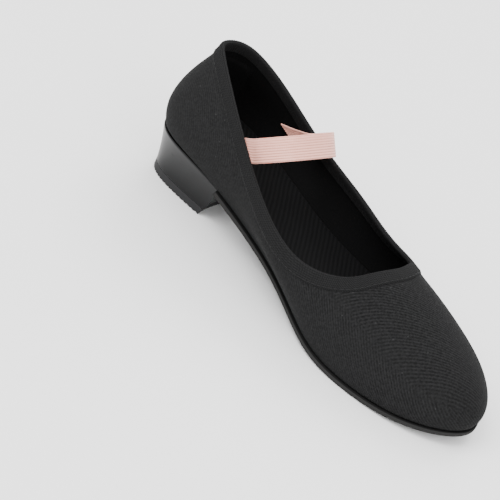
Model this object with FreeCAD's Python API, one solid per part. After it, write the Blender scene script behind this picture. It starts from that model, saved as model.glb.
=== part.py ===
import FreeCAD, Part

import math
import os

# Low-heeled canvas dance shoe for the left foot, in millimetres.
# +X points to the toe, +Y to the wearer's left (the lateral side), +Z up.
# The shoe stands on Z = 0 on its heel and on the ball of the sole.

Vector = FreeCAD.Vector
UP = Vector(0, 0, 1)

# ---- driving sizes -------------------------------------------------------

LAST_LENGTH = 240.0        # feather line of the last, heel to toe
BALL_WIDTH = 73.5          # feather line of the last across the ball
HEEL_LIFT = 29.5           # underside of the sole at the back of the heel
TOE_SPRING = 6.5           # underside of the sole at the tip of the toe
BACK_HEIGHT = 51.5         # topline above the insole level at the back seam
SIDE_HEIGHT = 29.5         # the same at the lowest point of the medial side
THROAT_HEIGHT = 47.5       # the same at the middle of the throat

LINING_T = 0.6
CANVAS_T = 0.8
COUNTER_T = 1.0
TOE_PUFF_T = 0.6
GRIP_T = 0.7
GLUE = 0.1                 # bond line left between pieces that are glued
LAST_CORNER = 0.8          # radius where the upper turns under the board
LASTING_MARGIN = 11.0      # upper turned in under the insole board, at the middle width
SEAM_GAP = 0.15            # between the cut edges of canvas pieces

BINDING_T = 0.45
BINDING_OUTSIDE = 6.5      # height of the binding outside the topline
BINDING_INSIDE = 5.5
CORD_R = 0.5               # elastic cord in the fold of the binding
CORD_LIFT = 0.3            # cord above the centre of the fold

BOARD_T = 1.8
FOAM_T = 2.0
SOCK_T = 0.9
SOCK_MARGIN = 0.3          # the sock reaches past the board by this much
OUTSOLE_T = 3.0
SOLE_EDGE = 0.7            # outsole standing out past the upper
FILLER_T = 1.2
FILLER_CLEARANCE = 1.0
SHANK_T = 1.2
SHANK_WIDTH = 12.0
SHANK_BACK = -96.0
SHANK_FRONT = -8.0

HEEL_RIM = 0.5             # heel block standing out past the upper
HEEL_BACK_BOTTOM = -120.0  # X of the heel block's lower back edge
HEEL_BREAST_BOTTOM = -71.0
HEEL_BREAST_TOP = -62.0
HEEL_BOTTOM_WIDTH = 37.0
HEEL_FLARE = 1.5           # how late the block widens on its way up
BREAST_SPARE = 4.0         # stock in front of the breast before it is cut
BREAST_HOLLOW = 2.5        # depth of the hollow in the breast
TOP_PIECE_T = 5.0
RIB_PITCH = 2.2
RIB_GAP = 0.9
RIB_DEPTH = 0.7
RIB_ANGLE = 45.0

NAIL_R = 0.9
NAIL_HEAD_R = 2.2
NAIL_HEAD_T = 0.7
NAIL_LENGTH = 16.0
NAIL_PLACES = ((-105.0, 0.0), (-99.0, 8.0), (-99.0, -8.0), (-84.0, 10.0), (-84.0, -10.0))
SCREW_R = 2.0
SCREW_HEAD_R = 4.0
SCREW_HEAD_T = 1.2
SCREW_LENGTH = 18.0
SCREW_X = -91.0
RIVET_R = 1.5
RIVET_HEAD_R = 2.6
RIVET_HEAD_T = 0.6
RIVET_XS = (-60.0, -25.0)
PIN_R = 1.5
PIN_IN_TOP_PIECE = 2.5
PIN_IN_BLOCK = 9.0
PIN_XS = (-110.0, -80.0)

STRAP_WIDTH = 13.5
STRAP_T = 1.1
STRAP_MEDIAL_X = -56.0     # where the strap crosses the topline on the inner side
STRAP_LATERAL_X = -52.0    # the same on the outer side
STRAP_LEAN = 48.0          # forward lean of the arch from upright
STRAP_RISE = 28.0          # arch above its two pivots
STRAP_BULGE = 4.5          # how far the arch swells past its pivots
STRAP_DEPTH = 14.0         # sewn end below the topline
STRAP_CLEARANCE = 0.6      # between the strap's sewn ends and the upper
STRAP_SWING_GAP = 2.4      # between the sewn ends and the arch that swings past them
STRAP_PIVOT_DROP = 0.5     # pivots below the topline

# ---- the last ------------------------------------------------------------
# One station per line, from the back seam along the medial side to the toe
# and back along the lateral side:
#   feather line x, y | rise and bulge of the wall that leaves it |
#   topline x, y and height | out and drop of the wall that reaches it.
# The table is for the middle size and is graded to LAST_LENGTH, BALL_WIDTH.

TABLE_LENGTH = 240.0
TABLE_WIDTH = 73.5
STATIONS = (
    (-120.0, 0.0, 21.0, 7.0, -112.0, 0.0, BACK_HEIGHT, 4.0, 20.0),
    (-112.5, -18.8, 19.5, 7.0, -104.0, -10.8, BACK_HEIGHT, 4.0, 19.0),
    (-91.0, -23.8, 17.0, 7.0, -80.5, -21.4, BACK_HEIGHT - 7.0, 3.0, 17.0),
    (-60.0, -21.7, 13.0, 7.0, -53.0, -28.8, SIDE_HEIGHT + 6.5, 3.0, 15.0),
    (-20.0, -19.7, 13.0, 9.0, -20.0, -35.5, SIDE_HEIGHT + 0.5, 4.0, 13.0),
    (15.0, -29.2, 11.0, 8.0, 8.5, -36.0, SIDE_HEIGHT, 6.0, 11.0),
    (44.0, -36.7, 11.0, 5.0, 30.0, -28.8, THROAT_HEIGHT - 10.0, 10.0, 9.0),
    (76.5, -33.0, 13.0, 4.0, 38.5, -19.5, THROAT_HEIGHT - 3.0, 20.0, 7.0),
    (103.0, -22.8, 15.0, 4.0, 42.2, -9.8, THROAT_HEIGHT, 28.0, 6.0),
    (120.0, -2.0, 17.5, 6.0, 43.7, 0.0, THROAT_HEIGHT, 33.0, 6.0),
    (107.5, 20.0, 16.5, 7.5, 42.2, 9.4, THROAT_HEIGHT - 2.0, 29.0, 6.0),
    (82.0, 29.0, 14.0, 5.0, 38.7, 19.0, THROAT_HEIGHT - 7.0, 20.0, 7.0),
    (49.0, 36.7, 11.0, 5.0, 30.4, 27.8, THROAT_HEIGHT - 12.5, 10.0, 9.0),
    (15.0, 34.7, 11.0, 5.0, 10.0, 31.8, SIDE_HEIGHT + 2.0, 6.0, 11.0),
    (-20.0, 28.7, 11.0, 6.0, -18.0, 32.7, SIDE_HEIGHT + 3.0, 4.0, 13.0),
    (-60.0, 24.7, 11.0, 6.0, -52.5, 29.2, SIDE_HEIGHT + 3.5, 3.0, 15.0),
    (-91.0, 23.8, 17.0, 7.0, -82.5, 21.8, BACK_HEIGHT - 9.5, 3.0, 17.0),
    (-112.5, 18.2, 19.5, 7.0, -104.0, 11.2, BACK_HEIGHT - 0.5, 4.0, 19.0),
)
LOOP = len(STATIONS)
BALL_MEDIAL = 6.0          # stations where the sole bends
BALL_LATERAL = 12.0
WAIST_MEDIAL = 4           # stations at the narrowest of the sole
WAIST_LATERAL = 14
TOE = 9.0

# underside of the sole: x, share of HEEL_LIFT, share of TOE_SPRING
SOLE_LINE = (
    (-132.0, 1.015, 0.0),
    (-120.0, 0.995, 0.0),
    (-75.0, 0.865, 0.0),
    (-25.0, 0.39, 0.0),
    (20.0, 0.10, 0.0),
    (52.0, 0.0, 0.0),
    (90.0, 0.0, 0.2),
    (120.0, 0.0, 0.94),
    (132.0, 0.0, 1.35),
)

GRADE_X = LAST_LENGTH / TABLE_LENGTH
GRADE_Y = BALL_WIDTH / TABLE_WIDTH
TURNED_IN_WIDTH = LASTING_MARGIN * GRADE_Y
UPPER_T = LINING_T + 2 * GLUE + CANVAS_T
SOLE_TOP = -(UPPER_T + GLUE)
SOLE_BOTTOM = SOLE_TOP - OUTSOLE_T
SOLE_OUT = LAST_CORNER + UPPER_T + SOLE_EDGE
HEEL_OUT = LAST_CORNER + UPPER_T + HEEL_RIM


def spline(points, parameters):
    """Cubic curve through the points at the given parameters."""
    curve = Part.BSplineCurve()
    curve.interpolate(Points=points, Parameters=parameters)
    return curve


def sole_line():
    """Underside of the sole in the XZ plane, with X as its parameter."""
    points = []
    for x, lift, spring in SOLE_LINE:
        points.append(Vector(x * GRADE_X, 0, lift * HEEL_LIFT + spring * TOE_SPRING))
    return spline(points, [p.x for p in points])


SOLE_CURVE = sole_line()
TREAD_XS = [GRADE_X * x for x in range(20, 91)]
SOLE_LOWEST = min(SOLE_CURVE.value(x).z for x in TREAD_XS)


def level(x):
    """Height of the underside of the insole board at x."""
    return SOLE_CURVE.value(x).z - SOLE_LOWEST - SOLE_BOTTOM


def slope(x):
    """Unit direction of the bottom line towards the toe at x."""
    step = 0.5
    return Vector(2 * step, 0, level(x + step) - level(x - step)).normalize()


def below(x, offset):
    """Point of the bottom line at x, moved by offset along its upward normal."""
    along = slope(x)
    return Vector(x, 0, level(x)) + Vector(-along.z, 0, along.x) * offset


OVERLAP = 6                # stations repeated past each end, so that a curve closes


def station_curve(pick):
    """Curve through one set of columns of the station table, round and round."""
    turns = range(-OVERLAP, LOOP + OVERLAP + 1)
    points = [Vector(*pick(STATIONS[i % LOOP])) for i in turns]
    return spline(points, [float(i) for i in turns])


FEATHER = station_curve(lambda row: (row[0] * GRADE_X, row[1] * GRADE_Y, 0))
TOPLINE = station_curve(lambda row: (row[4] * GRADE_X, row[5] * GRADE_Y, row[6]))
# the third value only keeps neighbouring points of these two curves apart
WALL_START = station_curve(lambda row: (row[2], row[3], row[0]))
WALL_END = station_curve(lambda row: (row[7], row[8], row[0]))


def wrap(t):
    """Station number brought into one turn of the shoe."""
    return t % LOOP


def outward(curve, t):
    """Horizontal direction away from the shoe's middle at station t."""
    step = 0.01
    along = curve.value(wrap(t + step)) - curve.value(wrap(t - step))
    return Vector(along.y, -along.x, 0).normalize()


def feather(t, offset=0.0):
    """Plan point of the feather line, moved outwards by offset."""
    return FEATHER.value(wrap(t)) + outward(FEATHER, t) * offset


def column(t):
    """Control points of the wall at station t, and its outward direction."""
    out = outward(FEATHER, t)
    foot = FEATHER.value(wrap(t))
    centre = Vector(foot.x, foot.y, level(foot.x) + LAST_CORNER)
    start = WALL_START.value(wrap(t))
    leave = UP * start.x + out * start.y
    turn = math.atan2(start.x, start.y)
    first = centre + (out * math.sin(turn) - UP * math.cos(turn)) * LAST_CORNER
    top = TOPLINE.value(wrap(t))
    last = Vector(top.x, top.y, level(top.x) + top.z)
    end = WALL_END.value(wrap(t))
    third = last + outward(TOPLINE, t) * end.x - UP * end.y
    return centre, turn, out, (first, first + leave, third, last)


def last_point(t, s):
    """Point on the last: s from -2 to -1 turned in, -1 to 0 corner, 0 to 1 wall."""
    centre, turn, out, controls = column(t)
    if s < -1:
        inner = feather(t, (s + 1) * TURNED_IN_WIDTH)
        return Vector(inner.x, inner.y, level(inner.x))
    if s < 0:
        angle = turn * (s + 1)
        return centre + (out * math.sin(angle) - UP * math.cos(angle)) * LAST_CORNER
    r = 1 - s
    weights = (r ** 3, 3 * s * r * r, 3 * s * s * r, s ** 3)
    point = Vector(0, 0, 0)
    for weight, control in zip(weights, controls):
        point += control * weight
    return point


def last_normal(t, s):
    """Unit normal of the last at (t, s), pointing out of the shoe."""
    dt = 0.02
    ds = 0.01
    high = s + ds if s < 1 - ds and not (-1 - ds <= s < -1) and not (-ds <= s < 0) else s
    low = high - ds
    across = last_point(t, high) - last_point(t, low)
    along = last_point(t + dt, s) - last_point(t - dt, s)
    return along.cross(across).normalize()


def skin(t, s, offset):
    """Point at a distance outside the last."""
    return last_point(t, s) + last_normal(t, s) * offset


def drop_to(t, distance):
    """Wall parameter that lies a distance below the topline at station t."""
    parts = 40
    here = last_point(t, 1.0)
    walked = 0.0
    for i in range(1, parts):
        there = last_point(t, 1.0 - i / parts)
        step = (there - here).Length
        if walked + step >= distance:
            return 1.0 - (i - 1 + (distance - walked) / step) / parts
        walked += step
        here = there
    return 0.0


def ramp(value, low, high):
    """Smooth step from 0 at low to 1 at high."""
    share = min(1.0, max(0.0, (value - low) / (high - low)))
    return share * share * (3 - 2 * share)


def spread(low, high, count):
    """Evenly spaced numbers from low to high."""
    return [low + (high - low) * i / (count - 1) for i in range(count)]


# ---- solids from grids of points ----------------------------------------

def row_places(grid):
    """Distances along the first direction's rows, averaged over the grid."""
    places = [0.0]
    for j in range(1, len(grid[0])):
        steps = [(row[j] - row[j - 1]).Length for row in grid]
        places.append(places[-1] + sum(steps) / len(steps))
    return places


def surface(grid, places):
    """Smooth surface through a grid of points, evenly timed along its stations."""
    turns = [float(i) for i in range(len(grid))]
    lines = [spline([row[j] for row in grid], turns) for j in range(len(places))]
    along = [line.getPoles() for line in lines]
    crossings = []
    for k in range(len(along[0])):
        crossings.append(spline([poles[k] for poles in along], places))
    result = Part.BSplineSurface()
    result.buildFromPolesMultsKnots(
        [line.getPoles() for line in crossings],
        lines[0].getMultiplicities(), crossings[0].getMultiplicities(),
        lines[0].getKnots(), crossings[0].getKnots(), False, False,
        lines[0].Degree, crossings[0].Degree)
    return result


def closed_solid(faces):
    """One solid from faces that meet edge to edge."""
    shell = Part.Shell(faces)
    shell.sewShape(0.005)
    solid = Part.Solid(shell if shell.ShapeType == "Shell" else shell.Shells[0])
    if solid.Volume < 0:
        solid.reverse()
    return solid


def slab(outer, inner):
    """Solid between two open grids of points, with ruled edges."""
    places = row_places(outer)
    skins = [surface(outer, places), surface(inner, places)]
    faces = [item.toShape() for item in skins]
    for side in range(4):
        edges = []
        for item in skins:
            u0, u1, v0, v1 = item.bounds()
            iso = item.uIso((u0, u1)[side]) if side < 2 else item.vIso((v0, v1)[side - 2])
            edges.append(iso.toShape())
        faces.append(Part.makeRuledSurface(edges[0], edges[1], 1))
    return closed_solid(faces)


def ring(outer, inner):
    """Solid between two grids whose rows run once round the shoe."""
    half = (len(outer) - 1) // 2
    places = row_places(outer)
    faces = []
    for first, last in ((0, half), (half, len(outer) - 1)):
        skins = [surface(grid[first:last + 1], places) for grid in (outer, inner)]
        faces += [item.toShape() for item in skins]
        for side in range(2):
            edges = [item.vIso(item.bounds()[2 + side]).toShape() for item in skins]
            faces.append(Part.makeRuledSurface(edges[0], edges[1], 1))
    return closed_solid(faces)


def tube(sections):
    """Closed round tube through sections that run once round the shoe."""
    half = (len(sections) - 1) // 2
    middle = (len(sections[0]) - 1) // 2
    places = row_places(sections)
    faces = []
    for first, last in ((0, half), (half, len(sections) - 1)):
        for low, high in ((0, middle), (middle, len(sections[0]) - 1)):
            grid = [row[low:high + 1] for row in sections[first:last + 1]]
            faces.append(surface(grid, places[low:high + 1]).toShape())
    return closed_solid(faces)


TURNED_IN = [-2.0, -1.75, -1.5, -1.25, -1.1, -1.0]
CORNER = [-0.75, -0.5, -0.25, 0.0]
WALL = [0.05, 0.12, 0.2, 0.3, 0.4, 0.5, 0.6, 0.7, 0.8, 0.9, 1.0]
STEPS_PER_STATION = 6


def layer(t0, t1, rows, inner, outer):
    """Layer of the upper from t0 to t1 between two offset functions of (t, s)."""
    count = int(round((t1 - t0) * STEPS_PER_STATION)) + 1
    stations = spread(t0, t1, count)
    grids = []
    for offset in (outer, inner):
        grids.append([[skin(t, s, offset(t, s)) for s in rows] for t in stations])
    return slab(grids[0], grids[1])


# ---- stiffeners between lining and canvas ---------------------------------

COUNTER_REACH = 3.0        # stations from the back seam
COUNTER_ROWS = spread(0.04, 0.84, 9)
PUFF_REACH = 2.4           # stations from the toe
PUFF_ROWS = spread(0.04, 0.5, 8)
SKIVE = 0.3                # thickness share left at a skived edge


def counter_thickness(t, s):
    """Thickness of the heel counter, fading out past its edges."""
    reach = min(wrap(t), LOOP - wrap(t))
    across = 1 - ramp(reach, COUNTER_REACH - 1.6, COUNTER_REACH + 0.6)
    up = ramp(s, -0.1, 0.22) * (1 - ramp(s, 0.6, 0.98))
    return COUNTER_T * across * up


def puff_thickness(t, s):
    """Thickness of the toe puff, fading out past its edges."""
    across = 1 - ramp(abs(wrap(t) - TOE), PUFF_REACH - 1.4, PUFF_REACH + 0.5)
    up = ramp(s, -0.1, 0.22) * (1 - ramp(s, 0.3, 0.62))
    return TOE_PUFF_T * across * up


STIFFENER_IN = LINING_T + GLUE


def canvas_in(t, s):
    """Inside of the canvas, over the lining and any stiffener."""
    return STIFFENER_IN + GLUE + counter_thickness(t, s) + puff_thickness(t, s)


def canvas_out(t, s):
    """Outside of the canvas."""
    return canvas_in(t, s) + CANVAS_T


def seam(t):
    """Half the seam gap at station t, in stations."""
    width = (FEATHER.value(wrap(t + 0.1)) - FEATHER.value(wrap(t - 0.1))).Length / 0.2
    return SEAM_GAP / 2 / width


def canvas_piece(t0, t1):
    """Canvas from one seam to the next."""
    rows = TURNED_IN + CORNER + WALL
    return layer(t0 + seam(t0), t1 - seam(t1), rows, canvas_in, canvas_out)


def lining_piece(t0, t1):
    """Lining from one seam to the next."""
    rows = TURNED_IN + CORNER + WALL
    gap0 = seam(t0)
    gap1 = seam(t1)
    return layer(t0 + gap0, t1 - gap1, rows, lambda t, s: 0.0, lambda t, s: LINING_T)


def heel_counter():
    """Moulded fibre counter round the heel."""
    return layer(LOOP - COUNTER_REACH, LOOP + COUNTER_REACH, COUNTER_ROWS,
                 lambda t, s: STIFFENER_IN,
                 lambda t, s: STIFFENER_IN + max(counter_thickness(t, s), SKIVE * COUNTER_T / 3))


def toe_puff():
    """Thin stiffener over the toe."""
    return layer(TOE - PUFF_REACH, TOE + PUFF_REACH, PUFF_ROWS,
                 lambda t, s: STIFFENER_IN,
                 lambda t, s: STIFFENER_IN + max(puff_thickness(t, s), SKIVE * TOE_PUFF_T / 3))


def heel_grip():
    """Suede patch glued inside the lining at the back of the heel."""
    return layer(LOOP - 1.3, LOOP + 1.3, spread(0.2, 0.8, 8),
                 lambda t, s: -GLUE - GRIP_T, lambda t, s: -GLUE)


# ---- topline ---------------------------------------------------------------

FOLD_IN = -GLUE
FOLD_OUT = UPPER_T + GLUE
FOLD_R = (FOLD_OUT - FOLD_IN) / 2
FOLD_LIFT = 0.35           # centre of the fold above the cut edges


def topline_frame(t):
    """Edge point, outward normal and upward tangent at the topline."""
    edge = last_point(t, 1.0)
    normal = last_normal(t, 1.0)
    rise = (edge - last_point(t, 0.99)).normalize()
    return edge, normal, rise


def binding_row(t, thickness):
    """Section of one face of the binding, from its outer to its inner edge."""
    edge, normal, rise = topline_frame(t)
    points = []
    for s in spread(drop_to(t, BINDING_OUTSIDE), 1.0, 5):
        extra = canvas_out(t, s) - UPPER_T
        points.append(skin(t, s, FOLD_OUT + extra + thickness))
    centre = edge + normal * ((FOLD_OUT + FOLD_IN) / 2) + rise * FOLD_LIFT
    for angle in (0, 45, 90, 135, 180):
        turn = math.radians(angle)
        arm = normal * math.cos(turn) + rise * math.sin(turn)
        points.append(centre + arm * (FOLD_R + thickness))
    for s in spread(1.0, drop_to(t, BINDING_INSIDE), 5):
        points.append(skin(t, s, FOLD_IN - thickness))
    return points


def topline_binding():
    """Tape folded over the raw edges of canvas and lining."""
    stations = spread(0, LOOP, LOOP * STEPS_PER_STATION + 1)
    outer = [binding_row(t, BINDING_T) for t in stations]
    inner = [binding_row(t, 0.0) for t in stations]
    return ring(outer, inner)


def topline_cord():
    """Elastic cord lying in the fold of the binding."""
    sections = []
    for t in spread(0, LOOP, LOOP * STEPS_PER_STATION + 1):
        edge, normal, rise = topline_frame(t)
        centre = edge + normal * ((FOLD_OUT + FOLD_IN) / 2) + rise * (FOLD_LIFT + CORD_LIFT)
        row = []
        for angle in range(0, 361, 45):
            turn = math.radians(angle)
            row.append(centre + (normal * math.cos(turn) + rise * math.sin(turn)) * CORD_R)
        sections.append(row)
    return tube(sections)


# ---- bottom ----------------------------------------------------------------

def plan_prism(offset, first=0, last=LOOP):
    """Tall block outlined by the feather line moved out by offset, between two stations."""
    points = [feather(t, offset) for t in spread(first, last, (last - first) * 4 + 1)]
    if last - first == LOOP:
        points[-1] = points[0]
    edges = []
    for i in range(0, len(points) - 1, 2):
        edges.append(Part.Arc(points[i], points[i + 1], points[i + 2]).toShape())
    if last - first < LOOP:
        edges.append(Part.makeLine(points[-1], points[0]))
    face = Part.Face(Part.Wire(edges))
    face.translate(Vector(0, 0, -20))
    return face.extrude(Vector(0, 0, 140))


HALF_SPAN = 70.0           # half the width of the working bands, past the shoe


def band(x0, x1, low, high):
    """Sheet that follows the bottom line between two offsets from x0 to x1."""
    xs = spread(x0, x1, 14)
    edges = []
    for offset in (low, high):
        points = [below(x, offset) for x in xs]
        edges.append(spline(points, xs).toShape())
    first, second = edges
    ends = [Part.makeLine(first.Vertexes[0].Point, second.Vertexes[0].Point),
            Part.makeLine(first.Vertexes[-1].Point, second.Vertexes[-1].Point)]
    face = Part.Face(Part.Wire(Part.__sortEdges__([first, ends[1], second, ends[0]])))
    face.translate(Vector(0, -HALF_SPAN, 0))
    return face.extrude(Vector(0, 2 * HALF_SPAN, 0))


LINE_START = -130.0 * GRADE_X
LINE_END = 130.0 * GRADE_X


def peg(x, y, low, high, radius):
    """Round peg square to the bottom line, between two offsets."""
    along = slope(x)
    normal = Vector(-along.z, 0, along.x)
    base = below(x, low) + Vector(0, y, 0)
    return Part.makeCylinder(radius, high - low, base, normal)


def headed_pegs(places, radius, head_radius, head_t, low, top):
    """Pegs with flat heads, all in one group."""
    pegs = []
    for x, y in places:
        body = peg(x, y, low, top - head_t, radius)
        pegs.append(body.fuse(peg(x, y, top - head_t, top, head_radius)))
    return pegs


BOARD_LOW = GLUE
BOARD_TOP = BOARD_LOW + BOARD_T
FOAM_LOW = BOARD_TOP + GLUE
SOCK_LOW = FOAM_LOW + FOAM_T + GLUE
SHANK_TOP = -GLUE
SHANK_LOW = SHANK_TOP - SHANK_T

RIVET_PLACES = [(x * GRADE_X, 0.0) for x in RIVET_XS]
NAILS = headed_pegs([(x * GRADE_X, y * GRADE_Y) for x, y in NAIL_PLACES],
                    NAIL_R, NAIL_HEAD_R, NAIL_HEAD_T, BOARD_TOP - NAIL_LENGTH, BOARD_TOP)
SCREW = headed_pegs([(SCREW_X * GRADE_X, 0.0)],
                    SCREW_R, SCREW_HEAD_R, SCREW_HEAD_T, BOARD_TOP - SCREW_LENGTH, BOARD_TOP)
RIVETS = headed_pegs(RIVET_PLACES, RIVET_R, RIVET_HEAD_R, RIVET_HEAD_T, SHANK_LOW, BOARD_TOP)


def cut_all(shape, tools):
    """Shape with each tool cut out of it."""
    for tool in tools:
        shape = shape.cut(tool)
    return shape


def insole_board():
    """Fibre board that the upper is lasted to."""
    board = plan_prism(0).common(band(LINE_START, LINE_END, BOARD_LOW, BOARD_TOP))
    return cut_all(board, NAILS + SCREW + RIVETS)


def insole_foam():
    """Full-length cushion on the board."""
    return plan_prism(0).common(band(LINE_START, LINE_END, FOAM_LOW, FOAM_LOW + FOAM_T))


def sock_lining():
    """Ribbed cloth sock on the cushion."""
    sheet = band(LINE_START, LINE_END, SOCK_LOW, SOCK_LOW + SOCK_T)
    return plan_prism(SOCK_MARGIN).common(sheet)


def shank():
    """Spring steel strip under the waist."""
    strip = band(SHANK_BACK * GRADE_X, SHANK_FRONT * GRADE_X, SHANK_LOW, SHANK_TOP)
    slot = Part.makeBox(LAST_LENGTH, SHANK_WIDTH, 140,
                        Vector(-LAST_LENGTH / 2, -SHANK_WIDTH / 2, -20))
    return cut_all(strip.common(slot), SCREW + RIVETS)


def bottom_filler():
    """Felt sheet that levels the space inside the lasting margin."""
    inset = LAST_CORNER + TURNED_IN_WIDTH + FILLER_CLEARANCE
    start = SHANK_FRONT * GRADE_X + FILLER_CLEARANCE
    sheet = band(start, LINE_END, SOLE_TOP + GLUE, SOLE_TOP + GLUE + FILLER_T)
    return plan_prism(-inset, WAIST_MEDIAL, WAIST_LATERAL).common(sheet)


def outsole():
    """Suede sole from the toe to the heel breast."""
    start = HEEL_BREAST_BOTTOM * GRADE_X - BREAST_HOLLOW
    sole = plan_prism(SOLE_OUT).common(band(start, LINE_END, SOLE_BOTTOM, SOLE_TOP))
    return sole.common(breast_front(GLUE))


# ---- heel ------------------------------------------------------------------

def station_at(x, low, high):
    """Station between low and high where the heel's rim crosses x."""
    rising = feather(high, HEEL_OUT).x > feather(low, HEEL_OUT).x
    for _ in range(40):
        middle = (low + high) / 2
        if (feather(middle, HEEL_OUT).x < x) == rising:
            low = middle
        else:
            high = middle
    return (low + high) / 2


def heel_section(widening, rise, z):
    """Closed outline of the heel at height z.

    widening goes from 0 at the width of the foot to 1 at the width of the seat,
    and rise from 0 at the foot's place to 1 at the seat's place along the shoe.
    """
    breast_top = (HEEL_BREAST_TOP + BREAST_SPARE) * GRADE_X
    t_lateral = station_at(breast_top, LOOP / 2 + 3, LOOP)
    t_medial = station_at(breast_top, 0.0, LOOP / 2 - 3) + LOOP
    rim = [feather(t, HEEL_OUT) for t in spread(t_lateral, t_medial, 41)]
    back = min(p.x for p in rim)
    half_width = max(abs(p.y) for p in rim)
    foot_back = HEEL_BACK_BOTTOM * GRADE_X
    foot_length = (HEEL_BREAST_BOTTOM + BREAST_SPARE) * GRADE_X - foot_back
    points = []
    for p in rim:
        foot_x = foot_back + (p.x - back) / (breast_top - back) * foot_length
        foot_y = p.y / half_width * HEEL_BOTTOM_WIDTH / 2 * GRADE_Y
        points.append(Vector(foot_x + (p.x - foot_x) * rise, foot_y + (p.y - foot_y) * widening, z))
    curve = spline(points, [float(i) for i in range(len(points))])
    return Part.Wire([curve.toShape(), Part.makeLine(points[-1], points[0])])


def seat_height():
    """Height of the heel seat at the back of the block."""
    return below(HEEL_BACK_BOTTOM * GRADE_X, SOLE_TOP).z


def breast_front(gap):
    """Everything in front of the hollow, leaning breast, moved forward by gap."""
    half = HEEL_BOTTOM_WIDTH / 2 * GRADE_Y
    lean = Vector((HEEL_BREAST_TOP - HEEL_BREAST_BOTTOM) * GRADE_X, 0, seat_height() - TOP_PIECE_T)
    x = HEEL_BREAST_BOTTOM * GRADE_X + gap
    z = TOP_PIECE_T
    hollow = Part.Arc(Vector(x, -half, z), Vector(x - BREAST_HOLLOW, 0, z), Vector(x, half, z))
    corners = [Vector(x, half, z), Vector(x, HALF_SPAN, z), Vector(x + 2 * LAST_LENGTH, HALF_SPAN, z),
               Vector(x + 2 * LAST_LENGTH, -HALF_SPAN, z), Vector(x, -HALF_SPAN, z),
               Vector(x, -half, z)]
    outline = Part.Wire([hollow.toShape()] + Part.makePolygon(corners).Edges)
    face = Part.Face(outline)
    face.translate(-lean)
    return face.extrude(lean * 4)


def top_piece_pins():
    """Two dowels moulded into the top piece."""
    pins = []
    for x in PIN_XS:
        base = Vector(x * GRADE_X, 0, TOP_PIECE_T - PIN_IN_TOP_PIECE)
        pins.append(Part.makeCylinder(PIN_R, PIN_IN_TOP_PIECE + PIN_IN_BLOCK, base, UP))
    return pins


PINS = top_piece_pins()


def heel_block():
    """Glossy moulded block between the upper and the top piece."""
    foot = TOP_PIECE_T
    seat = seat_height()
    sections = []
    for rise in (0.0, 0.25, 0.5, 0.75, 1.0, 1.3):
        widening = min(rise, 1.0) ** HEEL_FLARE
        sections.append(heel_section(widening, min(rise, 1.0), foot + (seat - foot) * rise))
    block = Part.makeLoft(sections, True)
    block = block.common(band(LINE_START, 0.0, SOLE_TOP - 2 * HEEL_LIFT, SOLE_TOP))
    return cut_all(block, [breast_front(0.0)] + NAILS + SCREW + PINS)


def heel_top_piece():
    """Rubber top piece with slanting ribs on its tread."""
    face = Part.Face(heel_section(0.0, 0.0, 0.0))
    piece = face.extrude(UP * (TOP_PIECE_T - GLUE)).cut(breast_front(0.0))
    centre = Vector((HEEL_BACK_BOTTOM + HEEL_BREAST_BOTTOM) / 2 * GRADE_X, 0, 0)
    span = (HEEL_BREAST_BOTTOM - HEEL_BACK_BOTTOM) * GRADE_X
    grooves = []
    for i in range(-int(span / RIB_PITCH), int(span / RIB_PITCH) + 1):
        groove = Part.makeBox(4 * span, RIB_GAP, 2 * RIB_DEPTH,
                              Vector(-2 * span, i * RIB_PITCH - RIB_GAP / 2, -RIB_DEPTH))
        groove.rotate(Vector(0, 0, 0), UP, RIB_ANGLE)
        groove.translate(centre)
        grooves.append(groove)
    piece = piece.cut(Part.Compound(grooves))
    return cut_all(piece, PINS)


# ---- strap -----------------------------------------------------------------

def topline_station(x, low, high):
    """Station between low and high where the topline crosses x."""
    rising = TOPLINE.value(high).x > TOPLINE.value(low).x
    for _ in range(40):
        middle = (low + high) / 2
        if (TOPLINE.value(middle).x < x) == rising:
            low = middle
        else:
            high = middle
    return (low + high) / 2


STRAP_MEDIAL = topline_station(STRAP_MEDIAL_X * GRADE_X, 2.0, 4.0)
STRAP_LATERAL = topline_station(STRAP_LATERAL_X * GRADE_X, 14.0, 16.0)
END_OUT = FOLD_IN - BINDING_T - STRAP_CLEARANCE


def strap_end(t):
    """Sewn end of the strap inside the upper, slanting back as it goes down."""
    spacing = (TOPLINE.value(t + 0.1) - TOPLINE.value(t - 0.1)).Length / 0.2
    forward = 1.0 if TOPLINE.value(t + 0.1).x > TOPLINE.value(t - 0.1).x else -1.0
    half = STRAP_WIDTH / 2 / spacing
    slant = math.tan(math.radians(STRAP_LEAN)) * STRAP_DEPTH / spacing * forward
    low = drop_to(t, STRAP_DEPTH)
    grids = []
    for offset in (END_OUT, END_OUT - STRAP_T):
        grid = []
        for across in spread(-half, half, 5):
            row = []
            for share in spread(0.0, 1.0, 6):
                s = low + (1 - low) * share
                row.append(skin(t + across - slant * (1 - share), s, offset))
            grid.append(row)
        grids.append(grid)
    return slab(grids[0], grids[1])


def strap_pivot(t):
    """Middle of the strap where it leaves its sewn end."""
    edge, normal, rise = topline_frame(t)
    inside = END_OUT - STRAP_T - STRAP_SWING_GAP - STRAP_T / 2
    return edge + normal * inside - UP * STRAP_PIVOT_DROP


PIVOT_MEDIAL = strap_pivot(STRAP_MEDIAL)
PIVOT_LATERAL = strap_pivot(STRAP_LATERAL)


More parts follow.
